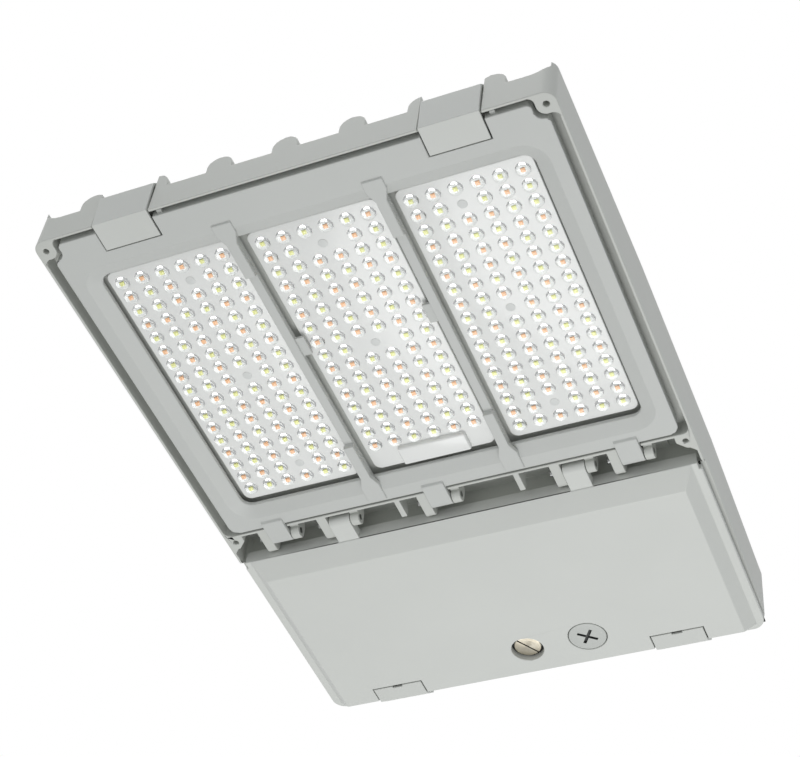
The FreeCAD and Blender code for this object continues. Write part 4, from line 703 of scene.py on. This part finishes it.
# Each lamp: name, place in mm, watts, and diameter in metres. They all point at the middle of the window.
LAMPS = (
    ("key", (100, 900, -1600), 14.5, 1.4),
    ("front fill", (-300, -1500, -500), 4.0, 1.2),
    ("side fill", (1500, -300, -200), 1.0, 1.2),
    ("top", (-200, 100, 1800), 22.0, 1.8),
)
LAMP_AIM = (0, 300, 0)
FLOOR_HEIGHT = -1900
FLOOR_HALF_WIDTH = 6.0               # metres


class AREALIGHT_OT_stage(bpy.types.Operator):
    """Camera below the light, soft lamps, pale floor and a white backdrop"""
    bl_idname = "area_light.stage"
    bl_label = "Stage"

    def execute(self, context):
        scene = context.scene
        scene.view_settings.view_transform = "Standard"
        self.add_camera(scene)
        self.add_world(scene)
        self.add_floor(scene)
        for name, place, watts, size in LAMPS:
            self.add_lamp(scene, name, at(*place), watts, size)
        return {"FINISHED"}

    def add_camera(self, scene):
        data = bpy.data.cameras.new("view from below")
        data.lens = FOCAL_LENGTH
        data.sensor_width = 36.0
        data.clip_start = 0.05
        data.clip_end = 50.0
        camera = bpy.data.objects.new("view from below", data)
        right = Vector(CAMERA_RIGHT).normalized()
        back = right.cross(Vector(CAMERA_UP).normalized())
        up = back.cross(right)
        place = at(*CAMERA_PLACE)
        camera.matrix_world = Matrix((
            (right.x, up.x, back.x, place.x),
            (right.y, up.y, back.y, place.y),
            (right.z, up.z, back.z, place.z),
            (0, 0, 0, 1)))
        scene.collection.objects.link(camera)
        scene.camera = camera

    def add_world(self, scene):
        """A soft pale light all round, which the camera, reflections and the lenses see as plain white."""
        world = bpy.data.worlds.new("soft studio")
        scene.world = world
        world.use_nodes = True
        tree = world.node_tree
        tree.nodes.clear()
        rays = add_node(tree, "ShaderNodeLightPath")
        seen = add_node(tree, "ShaderNodeMath", {"operation": "MAXIMUM"},
                        {0: (rays, "Is Camera Ray"), 1: (rays, "Is Glossy Ray")})
        white_rays = add_node(tree, "ShaderNodeMath", {"operation": "MAXIMUM"},
                              {0: (seen, "Value"), 1: (rays, "Is Transmission Ray")})
        light = add_node(tree, "ShaderNodeBackground", {"Color": linear("#F2F5F8"), "Strength": 0.5})
        white = add_node(tree, "ShaderNodeBackground", {"Color": linear("#FFFFFF"), "Strength": 1.0})
        mix = add_node(tree, "ShaderNodeMixShader", {},
                       {0: (white_rays, "Value"), 1: (light, "Background"), 2: (white, "Background")})
        add_node(tree, "ShaderNodeOutputWorld", {}, {"Surface": (mix, "Shader")})

    def add_floor(self, scene):
        bm = bmesh.new()
        bmesh.ops.create_grid(bm, x_segments=1, y_segments=1, size=FLOOR_HALF_WIDTH,
                              matrix=Matrix.Translation(Vector((0, 0, height(FLOOR_HEIGHT)))))
        mesh = bpy.data.meshes.new("floor")
        bm.to_mesh(mesh)
        bm.free()
        floor = bpy.data.objects.new("floor", mesh)
        scene.collection.objects.link(floor)
        # Painted studio floor: a plain pale grey.
        material, tree = new_material("painted_floor")
        shader = add_node(tree, "ShaderNodeBsdfPrincipled",
                          {"Base Color": linear("#E6E6E4"), "Roughness": 0.8})
        add_node(tree, "ShaderNodeOutputMaterial", {}, {"Surface": (shader, "BSDF")})
        mesh.materials.append(material)

    def add_lamp(self, scene, name, place, watts, size):
        data = bpy.data.lights.new(name, "AREA")
        data.shape = "DISK"
        data.size = size
        data.energy = watts
        lamp = bpy.data.objects.new(name, data)
        lamp.location = place
        lamp.rotation_euler = (at(*LAMP_AIM) - place).to_track_quat("-Z", "Y").to_euler()
        scene.collection.objects.link(lamp)


# ---------------------------------------------------------------- panel and run

OPERATORS = (
    AREALIGHT_OT_stage,
    AREALIGHT_OT_castings,
    AREALIGHT_OT_clips,
    AREALIGHT_OT_lens_plates,
    AREALIGHT_OT_lenses,
    AREALIGHT_OT_chips,
    AREALIGHT_OT_screw_spots,
    AREALIGHT_OT_lock,
    AREALIGHT_OT_plug,
    AREALIGHT_OT_inner_gear,
)


class AREALIGHT_PT_panel(bpy.types.Panel):
    """Lists the area light's values and the steps that build it"""
    bl_idname = "AREALIGHT_PT_panel"
    bl_label = "Area light"
    bl_space_type = "VIEW_3D"
    bl_region_type = "UI"
    bl_category = "Area Light"

    def draw(self, context):
        for group in (context.scene.area_light_sizes, context.scene.area_light_colours):
            for name in group.bl_rna.properties.keys():
                if name not in ("rna_type", "name"):
                    self.layout.prop(group, name)
        for operator in OPERATORS:
            self.layout.operator(operator.bl_idname)


CLASSES = (AREALIGHT_PG_sizes, AREALIGHT_PG_colours) + OPERATORS + (AREALIGHT_PT_panel,)


def register():
    for entry in CLASSES:
        bpy.utils.register_class(entry)
    bpy.types.Scene.area_light_sizes = bpy.props.PointerProperty(type=AREALIGHT_PG_sizes)
    bpy.types.Scene.area_light_colours = bpy.props.PointerProperty(type=AREALIGHT_PG_colours)


def unregister():
    del bpy.types.Scene.area_light_colours
    del bpy.types.Scene.area_light_sizes
    for entry in reversed(CLASSES):
        bpy.utils.unregister_class(entry)


def main():
    register()
    for operator in OPERATORS:
        name = operator.bl_idname.split(".")[1]
        getattr(bpy.ops.area_light, name)()


if __name__ == "__main__":
    main()
